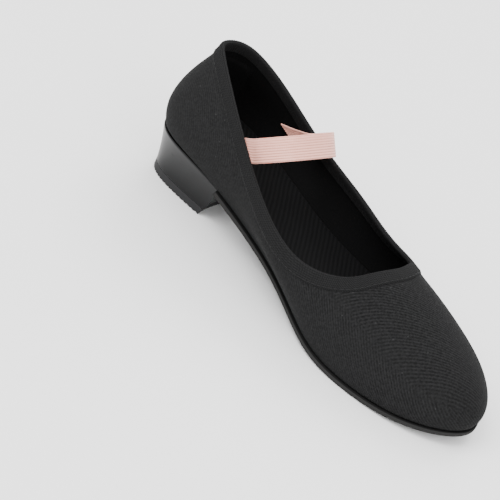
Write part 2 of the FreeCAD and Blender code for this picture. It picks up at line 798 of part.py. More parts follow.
def elastic_strap():
    """Arch of ribbed elastic over the instep, leaning forward."""
    across = PIVOT_LATERAL - PIVOT_MEDIAL
    half_span = across.Length / 2
    side = Vector(across).normalize()
    lean = math.radians(STRAP_LEAN)
    upright = Vector(math.sin(lean), 0, math.cos(lean))
    upright = (upright - side * upright.dot(side)).normalize()
    width = upright.cross(side).normalize()
    middle = (PIVOT_LATERAL + PIVOT_MEDIAL) / 2
    centre_line = []
    for angle in spread(0.0, 180.0, 31):
        turn = math.radians(angle)
        swell = math.sin(2 * turn) * math.sin(turn)
        reach = half_span * math.cos(turn) + STRAP_BULGE * swell
        centre_line.append(middle + side * reach + upright * (STRAP_RISE * math.sin(turn)))
    grids = [[], []]
    for i, point in enumerate(centre_line):
        before = centre_line[max(i - 1, 0)]
        after = centre_line[min(i + 1, len(centre_line) - 1)]
        normal = (after - before).cross(width).normalize()
        for grid, shift in zip(grids, (STRAP_T / 2, -STRAP_T / 2)):
            row = [point + normal * shift + width * w
                   for w in spread(-STRAP_WIDTH / 2, STRAP_WIDTH / 2, 4)]
            grid.append(row)
    return slab(grids[0], grids[1])


# ---- all pieces ------------------------------------------------------------

def pieces():
    """Every piece of the shoe by name."""
    return {
        "vamp_canvas": canvas_piece(BALL_MEDIAL, BALL_LATERAL),
        "quarter_canvas_medial": canvas_piece(0.0, BALL_MEDIAL),
        "quarter_canvas_lateral": canvas_piece(BALL_LATERAL, float(LOOP)),
        "vamp_lining": lining_piece(BALL_MEDIAL, BALL_LATERAL),
        "quarter_lining": lining_piece(BALL_LATERAL, BALL_MEDIAL + LOOP),
        "heel_counter": heel_counter(),
        "toe_puff": toe_puff(),
        "heel_grip": heel_grip(),
        "topline_binding": topline_binding(),
        "topline_cord": topline_cord(),
        "strap_end_medial": strap_end(STRAP_MEDIAL),
        "strap_end_lateral": strap_end(STRAP_LATERAL),
        "elastic_strap": elastic_strap(),
        "sock_lining": sock_lining(),
        "insole_foam": insole_foam(),
        "insole_board": insole_board(),
        "shank": shank(),
        "shank_rivets": Part.Compound(RIVETS),
        "bottom_filler": bottom_filler(),
        "outsole": outsole(),
        "heel_block": heel_block(),
        "heel_top_piece": heel_top_piece(),
        "top_piece_pins": Part.Compound(PINS),
        "heel_nails": Part.Compound(NAILS),
        "heel_screw": SCREW[0],
    }


def main():
    """Write each piece to its own STEP file and print its size."""
    os.makedirs("parts", exist_ok=True)
    for name, shape in pieces().items():
        shape.exportStep("parts/" + name + ".step")
        box = shape.BoundBox
        print("%-24s solids %d valid %s volume %9.1f  x %.1f %.1f  y %.1f %.1f  z %.1f %.1f" % (
            name, len(shape.Solids), shape.isValid(), shape.Volume,
            box.XMin, box.XMax, box.YMin, box.YMax, box.ZMin, box.ZMax))
    print("strap pivots", PIVOT_MEDIAL, PIVOT_LATERAL)


main()
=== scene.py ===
import math
from functools import partial

import bmesh
import bpy
import numpy as np
from bpy.props import FloatProperty, FloatVectorProperty, IntProperty, PointerProperty
from mathutils import Matrix, Vector


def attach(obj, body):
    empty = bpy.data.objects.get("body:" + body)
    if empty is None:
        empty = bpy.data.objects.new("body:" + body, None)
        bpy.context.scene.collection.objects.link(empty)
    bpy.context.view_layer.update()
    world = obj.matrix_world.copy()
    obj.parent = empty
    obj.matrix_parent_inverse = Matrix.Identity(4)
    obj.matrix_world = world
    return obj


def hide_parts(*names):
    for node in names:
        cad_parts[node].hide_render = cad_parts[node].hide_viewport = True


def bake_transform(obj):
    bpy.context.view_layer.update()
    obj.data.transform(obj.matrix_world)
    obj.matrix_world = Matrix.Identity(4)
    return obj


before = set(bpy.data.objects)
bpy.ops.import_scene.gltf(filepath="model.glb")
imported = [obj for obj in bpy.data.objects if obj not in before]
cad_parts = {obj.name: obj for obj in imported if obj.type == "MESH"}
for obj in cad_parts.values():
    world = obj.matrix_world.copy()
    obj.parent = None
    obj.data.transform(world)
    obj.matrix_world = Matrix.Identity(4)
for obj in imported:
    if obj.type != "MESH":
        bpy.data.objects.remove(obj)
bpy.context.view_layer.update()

# Low-heeled canvas dance shoe for the left foot.
# Shapes are worked out in millimetres and written to meshes in metres.
# +X points to the toe, +Y to the outer side of the foot, +Z up. The paints lean on an
# object's own coordinates, or on distances along its cloth, so the weave moves with the piece.

bl_info = {
    "name": "Canvas dance shoe",
    "version": (1, 0, 0),
    "blender": (4, 5, 0),
    "location": "3D View > Sidebar > Dance shoe",
    "description": "Builds a low-heeled canvas dance shoe around its packed model",
    "category": "Object",
}

MM = 0.001
UP = np.array([0.0, 0.0, 1.0])

# ---- the last: the same stations and thicknesses as the solid model --------

LINING_T = 0.6
CANVAS_T = 0.8
COUNTER_T = 1.0
PUFF_T = 0.6
GRIP_T = 0.7
GLUE = 0.1
UPPER_T = LINING_T + 2 * GLUE + CANVAS_T
LAST_CORNER = 0.8
LASTING_MARGIN = 11.0
BOARD_T = 1.8
FOAM_T = 2.0
SOCK_T = 0.9
SOCK_MARGIN = 0.3
OUTSOLE_T = 3.0
SOLE_EDGE = 0.7
FILLER_T = 1.2
FILLER_INSET = 12.8
FILLER_START = -7.0
HEEL_RIM = 0.5
HEEL_BACK_BOTTOM = -120.0
BREAST_BOTTOM = -71.0
BREAST_TOP = -62.0
BREAST_HOLLOW = 2.5
HEEL_HALF_WIDTH = 18.5
HEEL_FLARE = 1.5
TOP_PIECE_T = 5.0
SOLE_TOP = -(UPPER_T + GLUE)
SOLE_BOTTOM = SOLE_TOP - OUTSOLE_T
SOLE_OUT = LAST_CORNER + UPPER_T + SOLE_EDGE
HEEL_OUT = LAST_CORNER + UPPER_T + HEEL_RIM

# feather line x, y | rise and bulge of the wall that leaves it |
# topline x, y and height | out and drop of the wall that reaches it
STATIONS = np.array([
    (-120.0, 0.0, 21.0, 7.0, -112.0, 0.0, 51.5, 4.0, 20.0),
    (-112.5, -18.8, 19.5, 7.0, -104.0, -10.8, 51.5, 4.0, 19.0),
    (-91.0, -23.8, 17.0, 7.0, -80.5, -21.4, 44.5, 3.0, 17.0),
    (-60.0, -21.7, 13.0, 7.0, -53.0, -28.8, 36.0, 3.0, 15.0),
    (-20.0, -19.7, 13.0, 9.0, -20.0, -35.5, 30.0, 4.0, 13.0),
    (15.0, -29.2, 11.0, 8.0, 8.5, -36.0, 29.5, 6.0, 11.0),
    (44.0, -36.7, 11.0, 5.0, 30.0, -28.8, 37.5, 10.0, 9.0),
    (76.5, -33.0, 13.0, 4.0, 38.5, -19.5, 44.5, 20.0, 7.0),
    (103.0, -22.8, 15.0, 4.0, 42.2, -9.8, 47.5, 28.0, 6.0),
    (120.0, -2.0, 17.5, 6.0, 43.7, 0.0, 47.5, 33.0, 6.0),
    (107.5, 20.0, 16.5, 7.5, 42.2, 9.4, 45.5, 29.0, 6.0),
    (82.0, 29.0, 14.0, 5.0, 38.7, 19.0, 40.5, 20.0, 7.0),
    (49.0, 36.7, 11.0, 5.0, 30.4, 27.8, 35.0, 10.0, 9.0),
    (15.0, 34.7, 11.0, 5.0, 10.0, 31.8, 31.5, 6.0, 11.0),
    (-20.0, 28.7, 11.0, 6.0, -18.0, 32.7, 32.5, 4.0, 13.0),
    (-60.0, 24.7, 11.0, 6.0, -52.5, 29.2, 33.0, 3.0, 15.0),
    (-91.0, 23.8, 17.0, 7.0, -82.5, 21.8, 42.0, 3.0, 17.0),
    (-112.5, 18.2, 19.5, 7.0, -104.0, 11.2, 51.0, 4.0, 19.0),
])
LOOP = len(STATIONS)
TOE = 9.0
SOLE_LINE = np.array([
    (-132.0, 29.943), (-120.0, 29.353), (-75.0, 25.518), (-25.0, 11.505), (20.0, 2.95),
    (52.0, 0.0), (90.0, 1.3), (120.0, 6.11), (132.0, 8.775)])


class Loop:
    """Closed smooth curve through one value for each station."""

    def __init__(self, values):
        self.values = np.asarray(values, float)
        count = len(self.values)
        ties = 4 * np.eye(count) + np.roll(np.eye(count), 1, 0) + np.roll(np.eye(count), -1, 0)
        bends = np.roll(self.values, -1, 0) - 2 * self.values + np.roll(self.values, 1, 0)
        self.curve = np.linalg.solve(ties, 6 * bends)

    def __call__(self, t):
        count = len(self.values)
        t = np.asarray(t, float) % count
        low = np.floor(t).astype(int) % count
        high = (low + 1) % count
        f = (t - np.floor(t))[..., None]
        r = 1 - f
        line = self.values[low] * r + self.values[high] * f
        return line + (self.curve[low] * (r ** 3 - r) + self.curve[high] * (f ** 3 - f)) / 6


class Line:
    """Open smooth curve z(x) through points, with end slopes from its end points."""

    def __init__(self, points):
        self.x, self.z = points.T
        gaps = np.diff(self.x)
        rises = np.diff(self.z) / gaps
        count = len(self.x)
        ties = np.zeros((count, count))
        bends = np.zeros(count)
        for i in range(1, count - 1):
            ties[i, i - 1:i + 2] = gaps[i - 1], 2 * (gaps[i - 1] + gaps[i]), gaps[i]
            bends[i] = 6 * (rises[i] - rises[i - 1])
        for row, near, first, sign in ((0, 0, 0, 1.0), (-1, count - 4, -1, -1.0)):
            cubic = np.polyfit(self.x[near:near + 4], self.z[near:near + 4], 3)
            slope = np.polyval(np.polyder(cubic), self.x[first])
            neighbour = 1 if row == 0 else count - 2
            ties[row, row] = 2 * gaps[row]
            ties[row, neighbour] = gaps[row]
            bends[row] = sign * 6 * (rises[row] - slope)
        self.curve = np.linalg.solve(ties, bends)

    def __call__(self, x):
        x = np.asarray(x, float)
        i = np.clip(np.searchsorted(self.x, x) - 1, 0, len(self.x) - 2)
        gap = self.x[i + 1] - self.x[i]
        f = (x - self.x[i]) / gap
        r = 1 - f
        line = self.z[i] * r + self.z[i + 1] * f
        return line + gap ** 2 * (self.curve[i] * (r ** 3 - r) + self.curve[i + 1] * (f ** 3 - f)) / 6


FEATHER = Loop(STATIONS[:, 0:2])
TOPLINE = Loop(STATIONS[:, 4:7])
WALL_START = Loop(STATIONS[:, 2:4])
WALL_END = Loop(STATIONS[:, 7:9])
SOLE_CURVE = Line(SOLE_LINE)
SOLE_LOWEST = float(SOLE_CURVE(np.linspace(20, 90, 71)).min())


def level(x):
    """Height of the underside of the insole board at x."""
    return SOLE_CURVE(x) - SOLE_LOWEST - SOLE_BOTTOM


def lift(x, offset):
    """Height at x of the surface that lies offset above the underside of the board."""
    slope = level(np.asarray(x) + 0.5) - level(np.asarray(x) - 0.5)
    return level(x) + offset * np.sqrt(1 + slope ** 2)


def unit(vectors):
    return vectors / np.linalg.norm(vectors, axis=-1, keepdims=True)


def outward(curve, t):
    """Horizontal direction away from the shoe's middle at station t."""
    along = curve(t + 0.01) - curve(t - 0.01)
    return unit(np.stack([along[..., 1], -along[..., 0], 0 * along[..., 0]], -1))


def feather(t, offset=0.0):
    """Plan point of the feather line, moved outwards by offset."""
    flat = FEATHER(t)
    spot = np.concatenate([flat, np.zeros_like(flat[..., :1])], -1)
    return spot + outward(FEATHER, t) * offset


def last_point(t, s):
    """Points on the last: s from -2 to -1 turned in, -1 to 0 corner, 0 to 1 wall."""
    t, s = np.broadcast_arrays(np.asarray(t, float), np.asarray(s, float))
    out = outward(FEATHER, t)
    centre = feather(t)
    centre[..., 2] = level(centre[..., 0]) + LAST_CORNER
    start, end = WALL_START(t), WALL_END(t)
    leave = UP * start[..., :1] + out * start[..., 1:]
    turn = np.arctan2(start[..., 0], start[..., 1])

    def corner(angle):
        arm = out * np.sin(angle)[..., None] - UP * np.cos(angle)[..., None]
        return centre + arm * LAST_CORNER

    first = corner(turn)
    last = TOPLINE(t)
    last[..., 2] += level(last[..., 0])
    third = last + outward(TOPLINE, t) * end[..., :1] - UP * end[..., 1:]
    f = np.clip(s, 0, 1)[..., None]
    r = 1 - f
    wall = first * r ** 3 + (first + leave) * 3 * f * r ** 2 + third * 3 * f ** 2 * r + last * f ** 3
    inner = feather(t, (np.minimum(s, -1) + 1)[..., None] * LASTING_MARGIN)
    inner[..., 2] = level(inner[..., 0])
    bend = corner(turn * (np.clip(s, -1, 0) + 1))
    s = s[..., None]
    return np.where(s < -1, inner, np.where(s < 0, bend, wall))


def last_normal(t, s):
    """Unit normals of the last, pointing out of the shoe."""
    t, s = np.broadcast_arrays(np.asarray(t, float), np.asarray(s, float))
    dt, ds = 0.02, 0.01
    held = (s >= 1 - ds) | ((s >= -1 - ds) & (s < -1)) | ((s >= -ds) & (s < 0))
    high = np.where(held, s, s + ds)
    across = last_point(t, high) - last_point(t, high - ds)
    along = last_point(t + dt, s) - last_point(t - dt, s)
    return unit(np.cross(along, across))


def skin(t, s, offset):
    """Points at a distance outside the last."""
    return last_point(t, s) + last_normal(t, s) * np.asarray(offset, float)[..., None]


def drop_to(t, distance):
    """Wall parameter that lies a distance below the topline at each station."""
    shares = np.linspace(1.0, 0.5, 41)
    line = last_point(np.asarray(t)[:, None], shares[None, :])
    walked = np.cumsum(np.linalg.norm(np.diff(line, axis=1), axis=-1), axis=1)
    walked = np.concatenate([np.zeros((len(t), 1)), walked], axis=1)
    return np.array([np.interp(distance, row, shares) for row in walked])


def ramp(value, low, high):
    """Smooth step from 0 at low to 1 at high."""
    share = np.clip((value - low) / (high - low), 0, 1)
    return share * share * (3 - 2 * share)


def counter_thickness(t, s):
    """Thickness of the heel counter, fading out past its edges."""
    reach = np.minimum(t % LOOP, LOOP - t % LOOP)
    return COUNTER_T * (1 - ramp(reach, 1.4, 3.6)) * ramp(s, -0.1, 0.22) * (1 - ramp(s, 0.6, 0.98))


def puff_thickness(t, s):
    """Thickness of the toe puff, fading out past its edges."""
    across = 1 - ramp(np.abs(t % LOOP - TOE), 1.0, 2.9)
    return PUFF_T * across * ramp(s, -0.1, 0.22) * (1 - ramp(s, 0.3, 0.62))


def canvas_in(t, s):
    """Inside of the canvas, over the lining and any stiffener."""
    return LINING_T + 2 * GLUE + counter_thickness(t, s) + puff_thickness(t, s)


# ---- meshes -----------------------------------------------------------------

def new_object(name, mesh, material, sharp=math.radians(45)):
    """Smooth shaded object with one material in its one slot."""
    mesh.polygons.foreach_set("use_smooth", [True] * len(mesh.polygons))
    mesh.set_sharp_from_angle(angle=sharp)
    mesh.materials.append(material)
    made = bpy.data.objects.new(name, mesh)
    bpy.context.scene.collection.objects.link(made)
    return made


def mesh_from(name, points, faces, corners=None):
    """Mesh from millimetre points, with UVs in metres where they are given."""
    mesh = bpy.data.meshes.new(name)
    mesh.from_pydata((np.asarray(points) * MM).tolist(), [], [list(face) for face in faces])
    if corners is not None:
        layer = mesh.uv_layers.new(name="UVMap")
        flat = np.concatenate([np.asarray(c, np.float32).reshape(-1, 2) for c in corners])
        layer.data.foreach_set("uv", (flat * MM).ravel())
    mesh.validate()
    mesh.update()
    return mesh


def lengths(points):
    """Distance walked along a row of points."""
    steps = np.linalg.norm(np.diff(points, axis=0), axis=-1)
    return np.concatenate([[0.0], np.cumsum(steps)])


def sheet_mesh(name, outer, inner, closed=False, measured_row=-1):
    """Thin closed mesh between two grids of points, run along its first direction."""
    rows, cols = outer.shape[:2]
    kept = rows - 1 if closed else rows
    points = np.concatenate([grid[:kept].reshape(-1, 3) for grid in (outer, inner)])
    u = lengths(outer[:, measured_row])
    v = lengths(outer[rows // 2])
    faces, corners = [], []

    def add(*spots):
        columns = [np.stack(np.broadcast_arrays(*column), -1) for column in zip(*spots)]
        layer, i, j = np.broadcast_arrays(*columns)
        faces.append(((layer * kept + i % kept) * cols + j).reshape(-1, len(spots)))
        corners.append(np.stack([u[i], v[j]], -1).reshape(-1, len(spots), 2))

    i, j = (a.ravel() for a in np.meshgrid(np.arange(rows - 1), np.arange(cols - 1), indexing="ij"))
    add((0, i, j), (0, i + 1, j), (0, i + 1, j + 1), (0, i, j + 1))
    add((1, i, j), (1, i, j + 1), (1, i + 1, j + 1), (1, i + 1, j))
    i = np.arange(rows - 1)
    end = cols - 1
    add((1, i, 0), (1, i + 1, 0), (0, i + 1, 0), (0, i, 0))
    add((0, i, end), (0, i + 1, end), (1, i + 1, end), (1, i, end))
    if not closed:
        j = np.arange(cols - 1)
        end = rows - 1
        add((1, 0, j), (0, 0, j), (0, 0, j + 1), (1, 0, j + 1))
        add((0, end, j), (1, end, j), (1, end, j + 1), (0, end, j + 1))
    return mesh_from(name, points, np.concatenate(faces), [np.concatenate(corners)])


def weld(mesh):
    """Join points that lie on each other."""
    work = bmesh.new()
    work.from_mesh(mesh)
    bmesh.ops.remove_doubles(work, verts=work.verts, dist=1e-7)
    bmesh.ops.dissolve_degenerate(work, edges=work.edges, dist=1e-8)
    work.to_mesh(mesh)
    work.free()
    return mesh


def layer_grid(ts, rows, offset):
    """Grid of points over the upper at an offset function of (t, s)."""
    t, s = np.meshgrid(ts, rows, indexing="ij")
    return skin(t, s, offset(t, s))


def plan_grid(ts, profile, outline, start=None):
    """Grid round the plan outline: each profile entry is (inset, share to the spine, offset)."""
    edge = feather(ts, outline)
    middle = (edge + edge[::-1]) / 2
    if start is None:
        spine_x = middle[:, 0] * 0.86
    else:
        spine_x = start + (middle[:, 0] - start) * 0.92
    rows = []
    for inset, share, offset in profile:
        rim = feather(ts, outline - inset)
        spot = rim * (1 - share) + np.stack([spine_x, middle[:, 1], 0 * spine_x], -1) * share
        spot[:, 2] = lift(spot[:, 0], offset)
        rows.append(spot)
    return np.stack(rows, 1)


def plan_mesh(name, grid, closed):
    """Closed mesh from a grid whose rows run from the top spine over the edge to the bottom spine."""
    rows, cols = grid.shape[:2]
    kept = rows - 1 if closed else rows
    points = grid[:kept].reshape(-1, 3)
    i, j = (a.ravel() for a in np.meshgrid(np.arange(rows - 1), np.arange(cols - 1), indexing="ij"))
    spots = ((i, j + 1), (i + 1, j + 1), (i + 1, j), (i, j))
    faces = np.stack([(a % kept) * cols + b for a, b in spots], -1).tolist()
    if not closed:
        faces.append(list(range(cols)))
        faces.append([(rows - 1) * cols + j for j in reversed(range(cols))])
    flat = [points[index][:2] for face in faces for index in face]
    return weld(mesh_from(name, points, faces, [np.array(flat)]))


def edge_profile(low, high, radius, depth=3.0):
    """Profile of a flat sheet with rounded edges, from the top spine to the bottom spine."""
    top = [(depth, share, high) for share in np.linspace(1.0, 0.0, 14)]
    top += [(inset, 0.0, high) for inset in (2.0, 1.2)]
    for angle in np.radians((90, 68, 45, 22, 0)):
        top.append((radius * (1 - math.cos(angle)), 0.0, high - radius * (1 - math.sin(angle))))
    bottom = [(inset, share, low + high - offset) for inset, share, offset in reversed(top)]
    return top + bottom


def station_where(curve, x, low, high):
    """Station between low and high where the curve crosses x."""
    ts = np.linspace(low, high, 2001)
    xs = curve(ts)[:, 0]
    order = np.argsort(xs)
    return float(np.interp(x, xs[order], ts[order]))


# ---- shader expressions -----------------------------------------------------

class Value:
    """A socket that adds its own nodes when it is used in an expression."""

    def __init__(self, paint, socket):
        self.paint = paint
        self.socket = socket

    def maths(self, operation, *values):
        sockets = dict(enumerate(values))
        return self.paint.node("ShaderNodeMath", {"operation": operation}, sockets)

    def __add__(self, other):
        return self.maths("ADD", self, other)

    __radd__ = __add__

    def __mul__(self, other):
        return self.maths("MULTIPLY", self, other)

    __rmul__ = __mul__

    def __sub__(self, other):
        return self.maths("SUBTRACT", self, other)

    def __rsub__(self, other):
        return self.maths("SUBTRACT", other, self)

    def sine(self):
        return self.maths("SINE", self)

    def size(self):
        return self.maths("ABSOLUTE", self)

    def between(self, low, high):
        """Smooth step from 0 at low to 1 at high."""
        settings = {"interpolation_type": "SMOOTHSTEP"}
        return self.paint.node("ShaderNodeMapRange", settings, {0: self, 1: low, 2: high})


class Paint:
    """One material with a Principled shader, and the nodes that feed it."""

    def __init__(self, name, colour, roughness, **fixed):
        self.material = bpy.data.materials.new(name)
        self.material.use_nodes = True
        self.tree = self.material.node_tree
        self.shader = self.tree.nodes["Principled BSDF"]
        self.set({"Base Color": colour, "Roughness": roughness})
        self.set(fixed)
        self.material.diffuse_color = (*colour[:3], 1.0)

    def set(self, values):
        for name, value in values.items():
            socket = self.shader.inputs[name]
            if isinstance(value, Value):
                self.tree.links.new(value.socket, socket)
            elif hasattr(value, "__len__"):
                socket.default_value = (*value[:3], 1.0)
            else:
                socket.default_value = value

    def node(self, kind, settings=None, sockets=None, out=0):
        made = self.tree.nodes.new(kind)
        for name, value in (settings or {}).items():
            setattr(made, name, value)
        for place, value in (sockets or {}).items():
            if isinstance(value, Value):
                self.tree.links.new(value.socket, made.inputs[place])
            else:
                made.inputs[place].default_value = value
        return Value(self, made.outputs[out])

    def split(self, vector):
        """The three parts of a vector socket."""
        parts = self.node("ShaderNodeSeparateXYZ", sockets={0: vector})
        return [Value(self, socket) for socket in parts.socket.node.outputs]

    def place(self):
        return self.node("ShaderNodeTexCoord", out="Object")

    def facing(self):
        return self.split(self.node("ShaderNodeTexCoord", out="Normal"))

    def along(self):
        """Distances along and across a sewn piece, in metres."""
        return self.split(self.node("ShaderNodeUVMap", {"uv_map": "UVMap"}))[:2]

    def noise(self, scale, detail=2.0, where=None):
        sockets = {"Vector": where or self.place(), "Scale": scale, "Detail": detail}
        return self.node("ShaderNodeTexNoise", {"noise_dimensions": "3D"}, sockets)

    def specks(self, scale, size):
        """1 in small round specks about size of a cell wide, 0 between them."""
        sockets = {"Vector": self.place(), "Scale": scale}
        return 1 - self.node("ShaderNodeTexVoronoi", {}, sockets).between(size * 0.5, size)

    def mix(self, share, first, second):
        """Colour between first and second."""
        sockets = {0: share}
        for place, value in ((6, first), (7, second)):
            sockets[place] = value if isinstance(value, Value) else (*value[:3], 1.0)
        return self.node("ShaderNodeMix", {"data_type": "RGBA"}, sockets, out=2)

    def bump(self, height, distance, strength=1.0):
        sockets = {"Height": height, "Distance": distance, "Strength": strength}
        self.set({"Normal": self.node("ShaderNodeBump", sockets=sockets, out="Normal")})


def waves(position, pitch):
    """Smooth 0 to 1 waves of a pitch along a position in metres."""
    return (position * (2 * math.pi / pitch)).sine() * 0.5 + 0.5


def shade(colour, factor):
    """Colour made darker or lighter by a factor."""
    return tuple(part * factor for part in colour[:3])


def twill(paint, pitch):
    """Diagonal wale, laid over the top, the sides and the ends by the way they face."""
    x, y, z = paint.split(paint.place())
    nx, ny, nz = (part.size() for part in paint.facing())
    wobble = paint.noise(60.0) * (pitch * 1.2)
    top = waves(x - y + wobble, pitch * 1.414)
    side = waves(x + z + wobble, pitch * 1.414)
    end = waves(y + z + wobble, pitch * 1.414)
    up = nz.between(0.42, 0.62)
    ahead = (nx - ny).between(-0.1, 0.1)
    return top * up + (side * (1 - ahead) + end * ahead) * (1 - up)


def canvas_paint(sizes, colours):
    """Black cotton twill with uneven yarn, faded patches and a little lint."""
    base = tuple(colours.canvas)
    paint = Paint("black_canvas", base, 0.9, **{"Specular IOR Level": 0.1})
    wale = twill(paint, sizes.twill_pitch)
    yarn = paint.noise(950.0, 2.0).between(0.34, 0.66)
    slub = paint.noise(330.0, 3.0)
    fade = paint.noise(22.0, 2.0)
    lint = paint.specks(160.0, 0.09)
    tone = wale * 0.42 + yarn * 0.4 + slub * 0.18
    colour = paint.mix(tone, shade(base, 0.12), shade(base, 1.8))
    colour = paint.mix(fade.between(0.35, 0.75) * 0.3, colour, shade(base, 1.3))
    colour = paint.mix(lint * 0.3, colour, shade(base, 6.0))
    paint.set({"Base Color": colour, "Roughness": 0.82 + slub * 0.14})
    paint.bump(wale * 0.6 + yarn * 0.5 + fade * 0.8, 0.0003, 0.7)
    return paint.material


def lining_paint(colours):
    """Plain thin cotton lining."""
    base = tuple(colours.lining)
    paint = Paint("black_lining", base, 0.95, **{"Specular IOR Level": 0.08})
    weave = paint.noise(900.0, 2.0)
    x, _, z = paint.split(paint.place())
    threads = waves(z + x * 0.2, 0.0012) * 0.5 + waves(x - z * 0.2, 0.0012) * 0.5
    tone = weave * 0.5 + threads * 0.5
    paint.set({"Base Color": paint.mix(tone, shade(base, 0.6), shade(base, 1.5)),
               "Roughness": 0.88 + weave * 0.1})
    paint.bump(tone, 0.00015, 0.5)
    return paint.material


def binding_paint(colours):
    """Knitted tape with fine ribs across it."""
    base = tuple(colours.binding)
    paint = Paint("ribbed_binding", base, 0.85, **{"Specular IOR Level": 0.1})
    u, v = paint.along()
    knit = waves(v + waves(u, 0.0011) * 0.0006, 0.0011)
    grit = paint.noise(1500.0, 2.0)
    tone = knit * 0.5 + grit * 0.5
    colour = paint.mix(tone.between(0.2, 0.8), shade(base, 0.2), shade(base, 1.8))
    paint.set({"Base Color": colour, "Roughness": 0.75 + grit * 0.2})
    paint.bump(tone, 0.0002, 0.7)
    return paint.material


def thread_paint(colours):
    """Twisted sewing thread."""
    base = shade(colours.binding, 0.8)
    paint = Paint("sewing_thread", base, 0.6, **{"Specular IOR Level": 0.2})
    twist = paint.noise(2600.0, 1.0)
    paint.set({"Base Color": paint.mix(twist, shade(base, 0.6), shade(base, 1.5)),
               "Roughness": 0.5 + twist * 0.25})
    paint.bump(twist, 0.0001, 0.5)
    return paint.material


def elastic_paint(sizes, colours):
    """Woven elastic: lengthwise ribs and fine picks, with painted shade in the grooves between the ribs
    and between the picks.
    """
    base, groove = tuple(colours.elastic), tuple(colours.elastic_groove_shade)
    paint = Paint("pink_elastic", base, 0.7, **{"Sheen Weight": 0.35, "Sheen Roughness": 0.4,
                                                "Specular IOR Level": 0.3})
    u, v = paint.along()
    pitch = sizes.strap_width / sizes.strap_ribs
    rib = waves(v + pitch * 0.25, pitch)
    drift = paint.noise(180.0, 2.0)
    picks = waves(u + waves(v, pitch * 2) * 0.0004, 0.0009)
    # painted shade: the grooves between the ribs are darkened towards the groove shade colour, by a
    # random amount
    groove_shade_mask = (1 - rib).between(0.45, 1.0)
    colour = paint.mix(groove_shade_mask * (0.35 + drift * 0.6), base, groove)
    # painted shade: the low places between the picks are darkened a little towards the same colour
    colour = paint.mix((1 - picks) * 0.16, colour, groove)
    paint.set({"Base Color": colour, "Roughness": 0.62 + drift * 0.2})
    paint.bump(rib * 0.5 + picks * 0.25 + drift * 0.2, 0.0003, 0.5)
    return paint.material


def sock_paint(colours):
    """Sock cloth with slanting ribs."""
    base = tuple(colours.sock)
    paint = Paint("black_twill_sock", base, 0.95, **{"Specular IOR Level": 0.08})
    x, y, _ = paint.split(paint.place())
    ribs = waves(x + y * 0.8 + paint.noise(40.0) * 0.003, 0.0034)
    grit = paint.noise(1200.0, 2.0)
    tone = ribs * 0.6 + grit * 0.4
    paint.set({"Base Color": paint.mix(tone, shade(base, 0.55), shade(base, 1.6)),
               "Roughness": 0.86 + grit * 0.12})
    paint.bump(tone, 0.0003, 0.6)
    return paint.material


def suede_paint(name, colour, flecked=3.5, edge=1.0):
    """Napped suede with paler flecks; edge lightens the faces that stand upright."""
    base = tuple(colour)
    paint = Paint(name, base, 0.95, **{"Specular IOR Level": 0.1})
    nap = paint.noise(700.0, 4.0)
    patches = paint.noise(55.0, 3.0)
    flecks = paint.specks(240.0, 0.16) * paint.noise(30.0).between(0.45, 0.7)
    colour = paint.mix(nap * 0.5 + patches * 0.5, shade(base, 0.6), shade(base, 1.5))
    colour = paint.mix(flecks * 0.6, colour, shade(base, flecked))
    if edge > 1.0:
        upright = 1 - paint.facing()[2].size().between(0.35, 0.75)
        colour = paint.mix(upright * (0.55 + patches * 0.45), colour, shade(base, edge))
    paint.set({"Base Color": colour, "Roughness": 0.85 + nap * 0.14})
    paint.bump(nap, 0.0003, 0.7)
    return paint.material


def heel_paint(colours):
    """Moulded plastic, polished, with faint flow marks and scuffs."""
    base = tuple(colours.heel)
    paint = Paint("glossy_heel_plastic", base, 0.3, **{"Specular IOR Level": 0.16})
    flow = paint.noise(35.0, 2.0)
    scuffs = paint.noise(260.0, 4.0).between(0.62, 0.8)
    paint.set({"Base Color": paint.mix(flow, shade(base, 0.8), shade(base, 1.3)),
               "Roughness": 0.24 + flow * 0.08 + scuffs * 0.12})
    paint.bump(flow * 0.6 + scuffs * 0.05, 0.0002, 0.15)
    return paint.material


def rubber_paint(colours):
    """Heel rubber, dusty where it treads."""
    base = tuple(colours.rubber)
    paint = Paint("black_heel_rubber", base, 0.55, **{"Specular IOR Level": 0.2})
    _, _, z = paint.split(paint.place())
    grain = paint.noise(900.0, 3.0)
    dust = paint.noise(70.0, 3.0)
    tread = 1 - z.between(0.0004, 0.0012)
    colour = paint.mix(grain * 0.4 + dust * 0.6, shade(base, 0.7), shade(base, 1.6))
    colour = paint.mix(tread * dust * 0.5, colour, shade(base, 2.6))
    paint.set({"Base Color": colour, "Roughness": 0.5 + grain * 0.2})
    paint.bump(grain, 0.0001, 0.5)
    return paint.material


def steel_paint(name, colour, roughness):
    """Brushed steel."""
    paint = Paint(name, colour, roughness, Metallic=1.0)
    grain = paint.noise(800.0, 3.0)
    paint.set({"Base Color": paint.mix(grain, shade(colour, 0.7), shade(colour, 1.2)),
               "Roughness": roughness + grain * 0.2})
    paint.bump(grain, 0.00005, 0.4)
    return paint.material


def fibre_paint(name, colour, scale, depth):
    """Board, felt, foam and stiffener sheet: fibres or cells of one scale."""
    paint = Paint(name, colour, 0.9, **{"Specular IOR Level": 0.25})
    fibres = paint.noise(scale, 4.0)
    spots = paint.noise(scale / 8, 3.0)
    tone = fibres * 0.6 + spots * 0.4
    mixed = paint.mix(tone.between(0.25, 0.75), shade(colour, 0.65), shade(colour, 1.25))
    paint.set({"Base Color": mixed, "Roughness": 0.8 + fibres * 0.18})
    paint.bump(tone, depth, 0.7)
    return paint.material


# ---- sizes and colours ------------------------------------------------------

